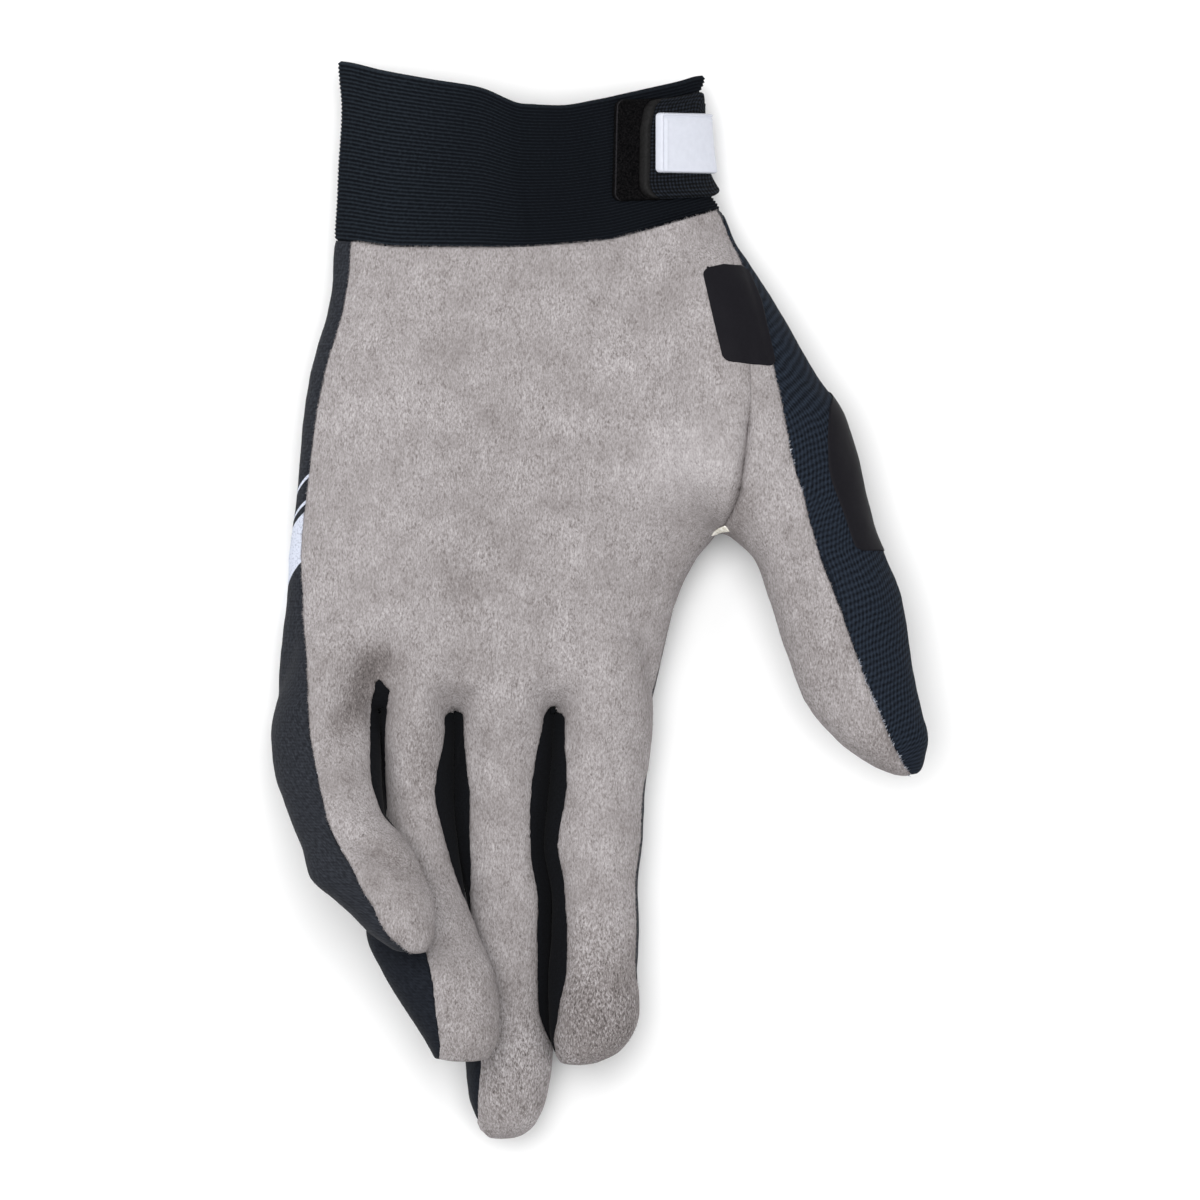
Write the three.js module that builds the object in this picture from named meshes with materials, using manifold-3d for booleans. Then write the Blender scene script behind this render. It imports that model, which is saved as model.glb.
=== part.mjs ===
import * as THREE from "three";
import { mergeVertices } from "three/addons/utils/BufferGeometryUtils.js";
import Module from "manifold-3d";

// Motocross glove for the left hand, filled out and lying on its back, palm up.
// Millimetres. X runs from the little finger to the thumb, Y from the fingertips
// to the cuff, Z up out of the palm. The origin is on the floor under the middle.

const wasm = await Module();
wasm.setup();

// Driving sizes
const SIDES = 16;               // corners of every section round a hollow tube
const WALL = 1.6;               // cloth and suede, with its backing
const SEAM_GAP = 0.35;          // left open between two sewn panels
const REGION_REACH = 1.2;       // how far a panel's cutter reaches past the skin
const BACK_SEAM_RIGHT = -58;    // degrees, where a finger's side strip meets its back
const BACK_SEAM_LEFT = 238;
const THUMB_BACK_SEAM = 214;    // degrees, the suede's lower edge on the thumb
const SUEDE_OVERLAP = 15;       // degrees that a side strip's cutter runs on into the suede
const MOUTH_REACH = 6;          // the hollow runs this far past the cuff's edge
const WEB = { width: 6, depth: 2.4, height: 8, middleZ: 11.5 };
const BELOW_FLOOR = -9;         // cutters reach lower than the floor
const CUTTER_END = 0.5;         // and this far past the ends of a tube
const WEDGE_STEPS = 6;
const LEAST_SPREAD = 0.5;       // a narrow wedge's middle backs away no further than by this sine
const SKY = 80;
const FAR = 140;                // past the glove on every side, as seen from above
const SHORTEST_EDGE = 0.15;
const SAME_POINT = 1e-4;        // points closer than this are one
const SAME_CORNER = 1e-5;       // and in a finished skin, corners closer than this
const WIDEST_SHARE = 0.999;     // a seam stays this much inside the edge of its section
const LEAST_STEP = 0.05;        // and a degree of turn is never taken for less than this

// Pieces laid on the skin, from the cuff outwards
const PATCH_THICK = 1.5;
const STRAP_THICK = 1.8;
const BADGE_THICK = 1.6;
const LABEL_THICK = 0.8;
const GUARD_THICK = 1.0;
const LAID_GAP = 0.35;
const BADGE_GAP = 0.525;
const FLAT_STEPS = 6;           // facets across a laid piece, and across one bent round an edge
const BENT_STEPS = 14;

// Each row of a table is one section across the glove: its place along Y, its left
// and right edge, its underside and top, how sharp its side edges are (1 is round,
// 2 is folded flat), and the X where the suede ends on the left and on the right.
const SECTION = ["y", "left", "right", "low", "high", "edge", "suedeLeft", "suedeRight"];

function table(names, rows) {
  return rows.map((row) => Object.fromEntries(names.map((name, i) => [name, row[i]])));
}

const BODY = table(SECTION, [
  [124, -58.5, 23.0, -1.0, 20.5, 1.5, -57, 21],
  [116, -58.0, 22.0, -1.0, 21.0, 1.5, -57, 21],
  [110, -57.5, 19.5, -1.0, 21.0, 1.5, -56, 19],
  [96, -58.0, 20.8, -1.0, 20.0, 1.5, -56, 20],
  [90, -58.3, 23.5, -1.0, 19.5, 1.4, -56, 22],
  [86, -58.5, 26.3, -1.5, 19.5, 1.3, -56, 26],
  [80, -59.0, 29.0, -2.0, 20.5, 1.2, -56, 28],
  [67, -60.0, 34.0, -3.0, 23.0, 1.0, -57, 33],
  [50, -64.0, 38.5, -3.0, 25.0, 0.9, -61.5, 37],
  [41, -65.5, 38.5, -3.0, 25.5, 0.9, -63.5, 37],
  [32, -66.5, 37.5, -3.0, 25.5, 0.9, -64.5, 36],
  [24, -67.5, 35.0, -3.0, 25.5, 0.9, -66, 33],
  [16, -68.5, 27.0, -3.0, 25.0, 0.9, -66.5, 26],
  [9, -69.5, 21.0, -3.0, 25.0, 0.9, -67, 20],
  [0, -69.5, 17.0, -3.0, 24.5, 0.9, -67, 16.5],
  [-18, -71.5, 13.0, -2.0, 22.5, 0.9, -65.5, 12.5],
  [-24, -71.5, 11.5, -1.0, 17.0, 0.9, -65.5, 11],
]);

const THUMB = table(SECTION, [
  [80, -2.0, 28.0, 0.0, 19.5, 1.2, -2, 27.5],
  [75.5, 3.0, 32.5, -0.5, 21.5, 1.1, 3, 32],
  [67, 6.0, 38.5, -1.0, 24.5, 1.0, 6, 35.5],
  [50, 8.0, 48.0, -1.0, 29.0, 1.0, 8, 39],
  [41, 9.0, 54.5, -0.5, 30.0, 1.0, 9, 41],
  [32, 11.0, 57.5, 0.5, 30.0, 1.0, 11, 42.5],
  [24, 16.0, 59.5, 2.0, 29.5, 1.0, 16, 45],
  [16, 27.0, 61.5, 4.0, 29.5, 1.0, 27, 47],
  [9, 34.5, 64.0, 5.5, 30.0, 1.0, 34.5, 49],
  [0, 38.0, 67.0, 7.5, 30.5, 1.0, 38, 52.5],
  [-18, 44.0, 70.0, 11.5, 31.5, 1.0, 44, 59],
  [-25, 47.5, 71.5, 13.0, 31.5, 1.0, 47.5, 62],
  [-31, 53.0, 73.0, 15.0, 31.0, 1.0, 53, 64.5],
  [-35, 59.0, 71.5, 17.5, 30.0, 1.0, 59, 66.5],
  [-38, 65.5, 70.0, 21.0, 27.5, 1.0, 65.5, 68],
]);

const PINKY = table(SECTION, [
  [-13, -71.0, -48.5, 1.0, 23.5, 0.9, -65.5, -50],
  [-24, -72.5, -49.5, 2.0, 25.0, 0.95, -65, -51],
  [-31, -73.0, -50.0, 4.5, 26.0, 1.0, -64.5, -51],
  [-39, -72.0, -49.5, 8.0, 29.0, 1.0, -63, -51],
  [-47, -69.5, -48.0, 13.0, 33.0, 1.0, -61.5, -48.6],
  [-54.5, -66.5, -42.5, 19.0, 38.0, 1.0, -58, -42.5],
  [-61.5, -64.0, -39.0, 24.5, 42.5, 1.0, -54, -39],
  [-68, -58.0, -37.0, 28.5, 45.0, 1.0, -50.5, -37],
  [-74, -52.0, -37.0, 31.5, 46.0, 1.0, -48, -37],
  [-78, -45.5, -39.0, 36.0, 44.5, 1.0, -43, -39],
]);

const RING = table(SECTION, [
  [-13, -48.0, -32.5, 1.0, 23.0, 0.9, -47, -34],
  [-24, -48.5, -33.0, 1.5, 22.5, 0.95, -47.3, -34.3],
  [-43.5, -48.0, -33.5, 1.5, 21.0, 1.0, -47.5, -36.8],
  [-53.5, -49.5, -32.5, 2.5, 22.0, 1.0, -47.3, -34.3],
  [-63.5, -51.5, -31.0, 6.0, 25.0, 1.0, -44.6, -31.5],
  [-73.5, -52.0, -27.5, 11.0, 29.5, 1.0, -40, -27.5],
  [-82.5, -48.0, -24.0, 15.5, 33.5, 1.0, -37.5, -24],
  [-90.5, -43.5, -22.5, 18.0, 35.5, 1.0, -36.5, -22.5],
  [-97, -39.5, -22.5, 21.0, 36.5, 1.0, -35.7, -22.5],
  [-102, -36.5, -25.0, 25.5, 35.0, 1.0, -35.7, -25],
]);

const MIDDLE = table(SECTION, [
  [-13, -31.5, -10.0, 1.0, 22.5, 0.9, -30, -12],
  [-24, -32.0, -10.5, 1.0, 21.5, 0.95, -30.5, -11.8],
  [-34.5, -32.0, -11.0, 1.0, 20.0, 1.0, -30, -14],
  [-45.5, -32.0, -12.0, 1.0, 19.0, 1.0, -29, -15.6],
  [-57, -31.0, -12.7, 1.0, 18.5, 1.0, -29, -15.2],
  [-68, -29.5, -11.0, 1.0, 18.5, 1.0, -29, -13.6],
  [-90.5, -31.0, -11.7, 1.0, 19.5, 1.0, -26.8, -13.2],
  [-101.5, -30.5, -11.0, 1.0, 20.0, 1.0, -26.3, -11],
  [-110.5, -29.5, -12.0, 2.0, 20.0, 1.0, -26.3, -12],
  [-117, -27.2, -14.4, 4.0, 18.8, 1.0, -26.8, -14.4],
  [-120.5, -25.2, -18.5, 8.0, 15.5, 1.0, -25.2, -18.5],
]);

const INDEX = table(SECTION, [
  [-13, -9.0, 13.0, 1.0, 22.5, 0.9, -8, 12.5],
  [-24, -10.0, 12.0, 1.0, 22.0, 0.95, -9, 11.6],
  [-33.5, -10.4, 11.0, 1.0, 21.0, 1.0, -7.8, 10.8],
  [-43.5, -11.0, 10.0, 1.5, 20.5, 1.0, -7.6, 9.8],
  [-53.5, -12.0, 9.5, 2.0, 21.0, 1.0, -9.4, 9.2],
  [-63.5, -10.3, 8.5, 3.0, 21.5, 1.0, -8.3, 7.4],
  [-82.5, -10.8, 8.5, 5.0, 23.0, 1.0, -8.5, 7.6],
  [-90.5, -11.0, 8.5, 6.5, 24.0, 1.0, -9.6, 8.3],
  [-98, -10.7, 6.8, 9.0, 24.4, 1.0, -10, 6.8],
  [-103, -9.0, 0.5, 12.8, 22.2, 1.0, -9, 0.5],
]);

// Soft hills and hollows of the palm: place, reach and height of each
const RELIEF = table(["x", "y", "reachX", "reachY", "height"], [
  [-18, 24, 17, 26, -2.2],
  [-49, 38, 12, 26, 1.6],
  [-50, -16, 4, 9, -2.5],
  [-32, -19, 4, 8, -1.8],
  [-10, -19, 4, 8, -1.8],
]);

// Lines seen from above, as X and Y of their points
const LINE = ["x", "y"];
const WRIST_SEAM = table(LINE, [
  [-75, 82], [-56, 80.5], [-44.5, 79], [-22, 79], [0, 80.5], [11, 82.5], [22, 85], [40, 87],
]);
const CUFF_EDGE = table(LINE, [
  [-75, 121], [-58, 120], [-49, 118.2], [-38, 116], [-27, 114.2], [-17, 110.8], [-9, 110.4],
  [0, 111.3], [9, 113.3], [18, 115.5], [40, 117],
]);
const THUMB_SEAM = table(LINE, [
  [27, 90], [31, 67], [33.2, 56], [33.5, 45], [32.8, 38], [31.5, 30], [28.8, 16], [25, 5], [24, -60],
]);

// Right of this line the thumb's own sections tell suede from mesh
const THUMB_ZONE = table(LINE, [
  [14, 78], [19, 60], [20.5, 45], [20.5, 35], [22.3, 28], [26, 20], [30.5, 12], [30.5, -60],
]);

// Sections
function ringPoint(row, degrees, inset, floor) {
  const angle = THREE.MathUtils.degToRad(degrees);
  const middleX = (row.left + row.right) / 2;
  const middleZ = (row.low + row.high) / 2;
  const halfX = (row.right - row.left) / 2 - inset;
  const halfZ = (row.high - row.low) / 2 - inset;
  const x = middleX + halfX * Math.cos(angle);
  const rise = Math.sign(Math.sin(angle)) * Math.abs(Math.sin(angle)) ** row.edge;
  const relief = Math.max(0, Math.sin(angle)) * palmRelief(x, row.y);
  const z = Math.max(floor, middleZ + halfZ * rise + relief);
  return new THREE.Vector3(x, row.y, z);
}

function palmRelief(x, y) {
  let height = 0;
  for (const hill of RELIEF) {
    const across = (x - hill.x) / hill.reachX;
    const along = (y - hill.y) / hill.reachY;
    height += hill.height * Math.exp(-across * across - along * along);
  }
  return height;
}

function seamAngle(row, x) {
  const middle = (row.left + row.right) / 2;
  const half = (row.right - row.left) / 2;
  const share = THREE.MathUtils.clamp((x - middle) / half, -WIDEST_SHARE, WIDEST_SHARE);
  return THREE.MathUtils.radToDeg(Math.acos(share));
}

function openingAngle(row, degrees, gap) {
  const step = 1;
  const here = ringPoint(row, degrees, 0, 0);
  const next = ringPoint(row, degrees + step, 0, 0);
  return gap * step / Math.max(here.distanceTo(next), LEAST_STEP);
}

// Solids
function solid(geometry) {
  geometry.deleteAttribute("normal");
  geometry.deleteAttribute("uv");
  const merged = mergeVertices(geometry, SAME_POINT);
  return new wasm.Manifold(new wasm.Mesh({
    numProp: 3,
    vertProperties: Float32Array.from(merged.attributes.position.array),
    triVerts: Uint32Array.from(merged.index.array),
  }));
}

// Rings of equal count make one closed body. Its ends are fans round a middle point,
// or, for a band, strips between the outer half of the ring and the inner half.
function loft(rings, band = false) {
  const count = rings[0].length;
  const points = rings.flat();
  const faces = [];
  for (let r = 0; r + 1 < rings.length; r += 1) {
    for (let i = 0; i < count; i += 1) {
      const a = r * count + i;
      const b = r * count + (i + 1) % count;
      faces.push(a, b, a + count, b, b + count, a + count);
    }
  }
  const ends = [[0, true], [rings.length - 1, false]];
  for (const [r, first] of ends) {
    if (band) {
      for (let i = 0; i + 1 < count / 2; i += 1) {
        const quad = [i, i + 1, count - 2 - i, count - 1 - i].map((corner) => r * count + corner);
        const [a, b, c, d] = first ? [quad[0], quad[3], quad[2], quad[1]] : quad;
        faces.push(a, b, c, a, c, d);
      }
      continue;
    }
    const middle = new THREE.Vector3();
    rings[r].forEach((point) => middle.addScaledVector(point, 1 / count));
    points.push(middle);
    const hub = points.length - 1;
    for (let i = 0; i < count; i += 1) {
      const a = r * count + i;
      const b = r * count + (i + 1) % count;
      faces.push(hub, first ? b : a, first ? a : b);
    }
  }
  const geometry = new THREE.BufferGeometry().setFromPoints(points);
  geometry.setIndex(faces);
  return solid(geometry);
}

function tube(rows, inset, floor) {
  const rings = rows.map((row) => {
    const ring = [];
    for (let i = 0; i < SIDES; i += 1) ring.push(ringPoint(row, 360 * i / SIDES, inset, floor));
    return ring;
  });
  return loft(rings);
}

function hollow(rows, mouth) {
  const last = rows.length - 1;
  const tip = { ...rows[last], y: rows[last].y + WALL };
  const start = { ...rows[0], y: rows[0].y + (mouth ? MOUTH_REACH : -WALL) };
  const kept = rows.slice(1, last).filter((row) => row.y > tip.y + WALL);
  return tube([start, ...kept, tip], WALL, WALL);
}

// All that lies between two angles of every section, from its middle to past its skin
function wedge(rows, from, to, grow) {
  const rings = rows.map((row, r) => {
    const low = from(row) - openingAngle(row, from(row), grow);
    const high = to(row) + openingAngle(row, to(row), grow);
    const end = r === 0 ? 1 : r === rows.length - 1 ? -1 : 0;
    const middle = new THREE.Vector3((row.left + row.right) / 2, row.y, (row.low + row.high) / 2);
    const facing = THREE.MathUtils.degToRad((low + high) / 2);
    const opening = THREE.MathUtils.degToRad((high - low) / 2);
    const apex = middle.clone();
    apex.x -= Math.cos(facing) * grow / Math.max(LEAST_SPREAD, Math.sin(opening));
    apex.z -= Math.sin(facing) * grow / Math.max(LEAST_SPREAD, Math.sin(opening));
    const ring = [apex];
    for (let i = 0; i <= WEDGE_STEPS; i += 1) {
      const turn = (high - low) * i / WEDGE_STEPS;
      const point = ringPoint(row, low + turn, 0, BELOW_FLOOR);
      ring.push(middle.clone().addScaledVector(point.sub(middle), REGION_REACH));
    }
    ring.forEach((point) => { point.y += end * (CUTTER_END + grow); });
    return ring;
  });
  return loft(rings);
}

// A flat outline from above, cut through the whole height
function column(points) {
  const outline = new THREE.Shape(points.map((point) => new THREE.Vector2(point.x, point.y)));
  const depth = SKY - BELOW_FLOOR;
  const geometry = new THREE.ExtrudeGeometry(outline, { depth, bevelEnabled: false });
  geometry.translate(0, 0, BELOW_FLOOR);
  return solid(geometry);
}

function above(line, shift) {
  const points = line.map((point) => ({ x: point.x, y: point.y + shift }));
  return column([...points, { x: line.at(-1).x, y: FAR }, { x: line[0].x, y: FAR }]);
}

function rightOf(line, shift) {
  const points = line.map((point) => ({ x: point.x + shift, y: point.y }));
  return column([...points, { x: FAR, y: points.at(-1).y }, { x: FAR, y: points[0].y }]);
}

function join(list) {
  return list.reduce((sum, part) => sum.add(part));
}

// Cutting leaves crumbs beside a seam: the panel is the largest body
function panel(body) {
  const bodies = body.decompose();
  return bodies.reduce((best, next) => (next.volume() > best.volume() ? next : best));
}

// A table's row at any place along Y, mixed from the rows on both sides of it
function mixRows(rows, y, names) {
  const next = Math.max(1, rows.findIndex((row) => row.y <= y));
  const before = rows[next - 1];
  const after = rows[next];
  const share = (before.y - y) / (before.y - after.y);
  const mixed = { y };
  for (const name of names) mixed[name] = THREE.MathUtils.lerp(before[name], after[name], share);
  return mixed;
}

function sectionAt(rows, y) {
  return mixRows(rows, y, SECTION);
}

// A piece laid on the skin between an X on the palm side and an angle round the edge
function laid(rows, outline, offset, thickness, steps) {
  const inner = -offset;
  const outer = -offset - thickness;
  const top = outline[0].y;
  const bottom = outline.at(-1).y;
  const crossed = rows.map((row) => row.y).filter((y) => y < top && y > bottom);
  const places = [...new Set([...outline.map((line) => line.y), ...crossed])].sort((a, b) => b - a);
  const rings = places.map((y) => {
    const row = sectionAt(rows, y);
    const line = mixRows(outline, y, ["startX", "endX", "endAngle"]);
    const from = seamAngle(row, line.startX);
    const to = outline[0].endX === null ? line.endAngle : seamAngle(row, line.endX);
    const angles = [];
    for (let i = 0; i <= steps; i += 1) angles.push(to + (from - to) * i / steps);
    return [
      ...angles.map((angle) => ringPoint(row, angle, outer, 0)),
      ...angles.reverse().map((angle) => ringPoint(row, angle, inner, 0)),
    ];
  });
  return loft(rings, true);
}

// The whole skin, less the hollow for the hand
const FINGERS = { pinky: PINKY, ring: RING, middle: MIDDLE, index: INDEX };
const HALF_GAP = SEAM_GAP / 2;
const insides = join([
  hollow(BODY, true),
  hollow(THUMB, false),
  ...Object.values(FINGERS).map((rows) => hollow(rows, false)),
]);
const sleeve = join([tube(BODY, 0, 0), tube(THUMB, 0, 0)]).subtract(insides);
const hand = sleeve.subtract(above(WRIST_SEAM, -HALF_GAP));
const fingerWalls = Object.fromEntries(
  Object.entries(FINGERS).map(([name, rows]) => [name, tube(rows, 0, 0).subtract(insides)]),
);

// The suede side of each tube, and the seam between the palm and the thumb
const suedeFrom = (row) => seamAngle(row, row.suedeRight);
const suedeTo = (row) => seamAngle(row, row.suedeLeft);
const thumbTo = () => THUMB_BACK_SEAM;
const thumbZone = rightOf(THUMB_ZONE, 0);
const suedeSide = (grow) => join([
  wedge(BODY, suedeFrom, suedeTo, grow).subtract(thumbZone),
  wedge(THUMB, suedeFrom, thumbTo, grow).intersect(thumbZone),
]);
const handSuede = hand.intersect(suedeSide(-HALF_GAP));
const handBlack = hand.subtract(suedeSide(HALF_GAP));
const thumbSide = rightOf(THUMB_SEAM, HALF_GAP);
const thumbSideWide = rightOf(THUMB_SEAM, -HALF_GAP);

// Each finger's wall: suede, a side strip facing each neighbour, and the back
const past = (row, angle, turn) => angle(row) + turn;
const rightStrip = (name, grow) => wedge(
  FINGERS[name], () => BACK_SEAM_RIGHT, (row) => past(row, suedeFrom, SUEDE_OVERLAP), grow,
);
const leftStrip = (name, grow) => wedge(
  FINGERS[name], (row) => past(row, suedeTo, -SUEDE_OVERLAP), () => BACK_SEAM_LEFT, grow,
);
const suede = (name, grow) => wedge(FINGERS[name], suedeFrom, suedeTo, grow);
const names = Object.keys(FINGERS);
const eachFinger = (make) => Object.fromEntries(names.map((name) => [name, make(name)]));
const fingerSuede = eachFinger((name) => fingerWalls[name].intersect(suede(name, -HALF_GAP)));
const fingerSuedeWide = join(
  names.map((name) => fingerWalls[name].intersect(suede(name, HALF_GAP))),
);
const fingerBlack = eachFinger((name) => fingerWalls[name].subtract(suede(name, HALF_GAP)));
const fingerBacks = {
  pinky: fingerBlack.pinky.subtract(rightStrip("pinky", HALF_GAP)),
  ring: fingerBlack.ring.subtract(rightStrip("ring", HALF_GAP))
    .subtract(leftStrip("ring", HALF_GAP)),
  middle: fingerBlack.middle.subtract(rightStrip("middle", HALF_GAP))
    .subtract(leftStrip("middle", HALF_GAP)),
  index: fingerBlack.index.subtract(leftStrip("index", HALF_GAP)),
};

// The panels of the hand end at the fingers' roots, where each finger's own begin
const handEnd = BODY.at(-1).y;
const rootLine = table(LINE, [[-FAR, handEnd], [FAR, handEnd]]);
const overHand = above(rootLine, 0);
const overHandWide = above(rootLine, -SEAM_GAP);
const palmPanel = panel(
  join([handSuede.subtract(thumbSideWide), ...Object.values(fingerSuede)]).intersect(overHand),
);
const thumbPalm = panel(handSuede.intersect(thumbSide));
const thumbBack = panel(handBlack.intersect(thumbSide));
const backPanel = panel(join([
  handBlack.subtract(thumbSideWide).subtract(fingerSuedeWide),
  join(Object.values(fingerBacks)).subtract(suedeSide(HALF_GAP)),
]).intersect(overHand));
const fingerFront = eachFinger((name) => panel(fingerSuede[name].subtract(overHandWide)));
const fingerBack = eachFinger((name) => panel(fingerBacks[name].subtract(overHandWide)));

// Side strips between two fingers, joined by the web at their root
const bodyWide = tube(
  BODY.map((row, r) => (r === BODY.length - 1 ? { ...row, y: row.y - SEAM_GAP } : row)),
  -SEAM_GAP,
  BELOW_FLOOR,
);
function fourchette(leftName, rightName) {
  const leftRow = sectionAt(FINGERS[leftName], handEnd);
  const rightRow = sectionAt(FINGERS[rightName], handEnd);
  const web = new THREE.BoxGeometry(WEB.width, WEB.depth, WEB.height);
  web.translate(
    (leftRow.right + rightRow.left) / 2,
    handEnd - SEAM_GAP - WEB.depth / 2,
    WEB.middleZ,
  );
  const walls = join([
    fingerBlack[leftName].intersect(rightStrip(leftName, -HALF_GAP)),
    fingerBlack[rightName].intersect(leftStrip(rightName, -HALF_GAP)),
    solid(web).subtract(insides),
  ]);
  return panel(walls.subtract(bodyWide).subtract(fingerSuedeWide));
}

// Cuff and what is sewn or laid on it
const cuff = panel(sleeve.intersect(above(WRIST_SEAM, HALF_GAP)).subtract(above(CUFF_EDGE, 0)));
const LAID = ["y", "startX", "endX", "endAngle"];
const LOOP_PATCH = table(LAID, [
  [111.5, 4, 15], [110.5, 3, 16], [90, 2.5, 17], [88.8, 3.5, 16],
]);
const STRAP = table(LAID, [
  [112, 9.0, null, -48], [110.5, 7.2, null, -48], [93, 7.0, null, -48],
  [91.5, 7.2, null, -5], [89.2, 8.6, null, 40],
]);
const BADGE = table(LAID, [
  [112, 15.6, null, -12], [109, 13.6, null, -18], [107.6, 11, null, -20],
  [106, 9.4, null, -20], [97, 9.4, null, -20], [95, 10.2, null, -18],
]);
const LABEL = table(LAID, [
  [75.5, 24, 31], [74, 23, 31.8], [54, 26.5, 38], [52.3, 28, 37.5],
]);
const GUARD = table(LAID, [
  [47, 49.3, null, -12], [44.5, 50.5, null, -30], [35, 51.7, null, -35], [27, 52, null, -35],
  [21, 53.8, null, -35], [15.8, 55.4, null, -32], [11, 58, null, -28],
]);
const strapOffset = LAID_GAP + PATCH_THICK + LAID_GAP;
const badgeOffset = strapOffset + STRAP_THICK + BADGE_GAP;

// Colours and finishes
const FINISH = {
  suede: { color: 0x9d938e, roughness: 0.95 },
  mesh: { color: 0x1a2028, roughness: 0.85 },
  knit: { color: 0x101820, roughness: 0.9 },
  loop: { color: 0x14110f, roughness: 1.0 },
  rubber: { color: 0xe6e6f0, roughness: 0.5 },
  label: { color: 0x2a2628, roughness: 0.6 },
};

// Cuts leave edges too short to matter: each is closed up where that keeps the skin whole
function closeShortEdges(body, shortest) {
  const shape = body.getMesh();
  const points = [];
  for (let i = 0; i < shape.numVert; i += 1) {
    points.push(new THREE.Vector3().fromArray(shape.vertProperties, i * shape.numProp));
  }
  const faces = [];
  for (let i = 0; i < shape.numTri; i += 1) faces.push([...shape.triVerts.slice(3 * i, 3 * i + 3)]);
  const around = points.map(() => new Set());
  faces.forEach((face, f) => face.forEach((corner) => around[corner].add(f)));
  const neighbours = (corner) => {
    const found = new Set([...around[corner]].flatMap((f) => faces[f]));
    found.delete(corner);
    return found;
  };
  let closed = true;
  while (closed) {
    closed = false;
    for (let f = 0; f < faces.length; f += 1) {
      const corners = faces[f];
      if (!corners) continue;
      for (let side = 0; side < 3; side += 1) {
        const kept = corners[side];
        const gone = corners[(side + 1) % 3];
        if (points[kept].distanceTo(points[gone]) > shortest) continue;
        const beyond = neighbours(gone);
        const shared = [...neighbours(kept)].filter((corner) => beyond.has(corner));
        if (shared.length !== 2) continue;
        for (const g of [...around[gone]]) {
          if (faces[g].includes(kept)) {
            faces[g].forEach((corner) => around[corner].delete(g));
            faces[g] = null;
          } else {
            faces[g] = faces[g].map((corner) => (corner === gone ? kept : corner));
            around[kept].add(g);
          }
        }
        around[gone].clear();
        closed = true;
        break;
      }
    }
  }
  const geometry = new THREE.BufferGeometry().setFromPoints(points);
  geometry.setIndex(faces.filter((face) => face).flat());
  return mergeVertices(geometry.toNonIndexed(), SAME_CORNER);
}

const glove = new THREE.Group();
function add(name, body, finish) {
  const geometry = closeShortEdges(body, SHORTEST_EDGE);
  geometry.computeVertexNormals();
  const mesh = new THREE.Mesh(geometry, new THREE.MeshStandardMaterial(FINISH[finish]));
  mesh.name = name;
  glove.add(mesh);
}

add("palm_panel", palmPanel, "suede");
add("thumb_palm", thumbPalm, "suede");
add("thumb_back", thumbBack, "mesh");
add("back_panel", backPanel, "mesh");
for (const name of names) {
  add(`${name}_front`, fingerFront[name], "suede");
  add(`${name}_back`, fingerBack[name], "mesh");
}
add("fourchette_pinky_ring", fourchette("pinky", "ring"), "mesh");
add("fourchette_ring_middle", fourchette("ring", "middle"), "mesh");
add("fourchette_middle_index", fourchette("middle", "index"), "mesh");
add("cuff", cuff, "knit");
add("loop_patch", laid(BODY, LOOP_PATCH, LAID_GAP, PATCH_THICK, FLAT_STEPS), "loop");
add("closure_strap", laid(BODY, STRAP, strapOffset, STRAP_THICK, BENT_STEPS), "mesh");
add("badge", laid(BODY, BADGE, badgeOffset, BADGE_THICK, BENT_STEPS), "rubber");
add("side_label", laid(THUMB, LABEL, LAID_GAP, LABEL_THICK, FLAT_STEPS), "label");
add("thumb_guard", laid(THUMB, GUARD, LAID_GAP, GUARD_THICK, FLAT_STEPS), "label");

export default glove;
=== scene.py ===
import math

import bpy
import numpy as np
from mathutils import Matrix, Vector, noise
from mathutils.bvhtree import BVHTree


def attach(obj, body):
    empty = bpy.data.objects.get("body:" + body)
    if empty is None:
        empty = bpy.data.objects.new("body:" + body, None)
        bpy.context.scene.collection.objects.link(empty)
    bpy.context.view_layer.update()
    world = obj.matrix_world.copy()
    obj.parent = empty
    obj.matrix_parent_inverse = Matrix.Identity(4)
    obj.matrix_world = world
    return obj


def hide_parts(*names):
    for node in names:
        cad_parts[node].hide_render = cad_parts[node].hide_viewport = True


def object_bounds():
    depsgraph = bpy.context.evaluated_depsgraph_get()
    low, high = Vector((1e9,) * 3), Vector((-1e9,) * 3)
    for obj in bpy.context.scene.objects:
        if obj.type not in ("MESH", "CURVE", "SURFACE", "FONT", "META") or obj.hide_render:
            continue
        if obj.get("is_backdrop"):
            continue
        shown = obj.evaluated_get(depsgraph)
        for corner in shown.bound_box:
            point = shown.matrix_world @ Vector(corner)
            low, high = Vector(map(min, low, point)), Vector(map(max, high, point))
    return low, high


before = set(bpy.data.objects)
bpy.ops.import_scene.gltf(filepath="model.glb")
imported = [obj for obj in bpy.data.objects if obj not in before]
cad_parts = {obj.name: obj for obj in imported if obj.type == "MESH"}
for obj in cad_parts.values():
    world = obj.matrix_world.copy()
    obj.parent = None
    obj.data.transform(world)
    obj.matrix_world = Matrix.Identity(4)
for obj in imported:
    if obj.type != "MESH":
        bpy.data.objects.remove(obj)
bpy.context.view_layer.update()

# Filled-out hand
# The form that every panel of the glove is cut from: a flat hand with its thumb out.
# Each row is a section across it, in millimetres, as in the CAD part: place along Y,
# left, right, underside, top, sharpness of the side edges, suede's left and right end.
MM = 0.001
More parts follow.
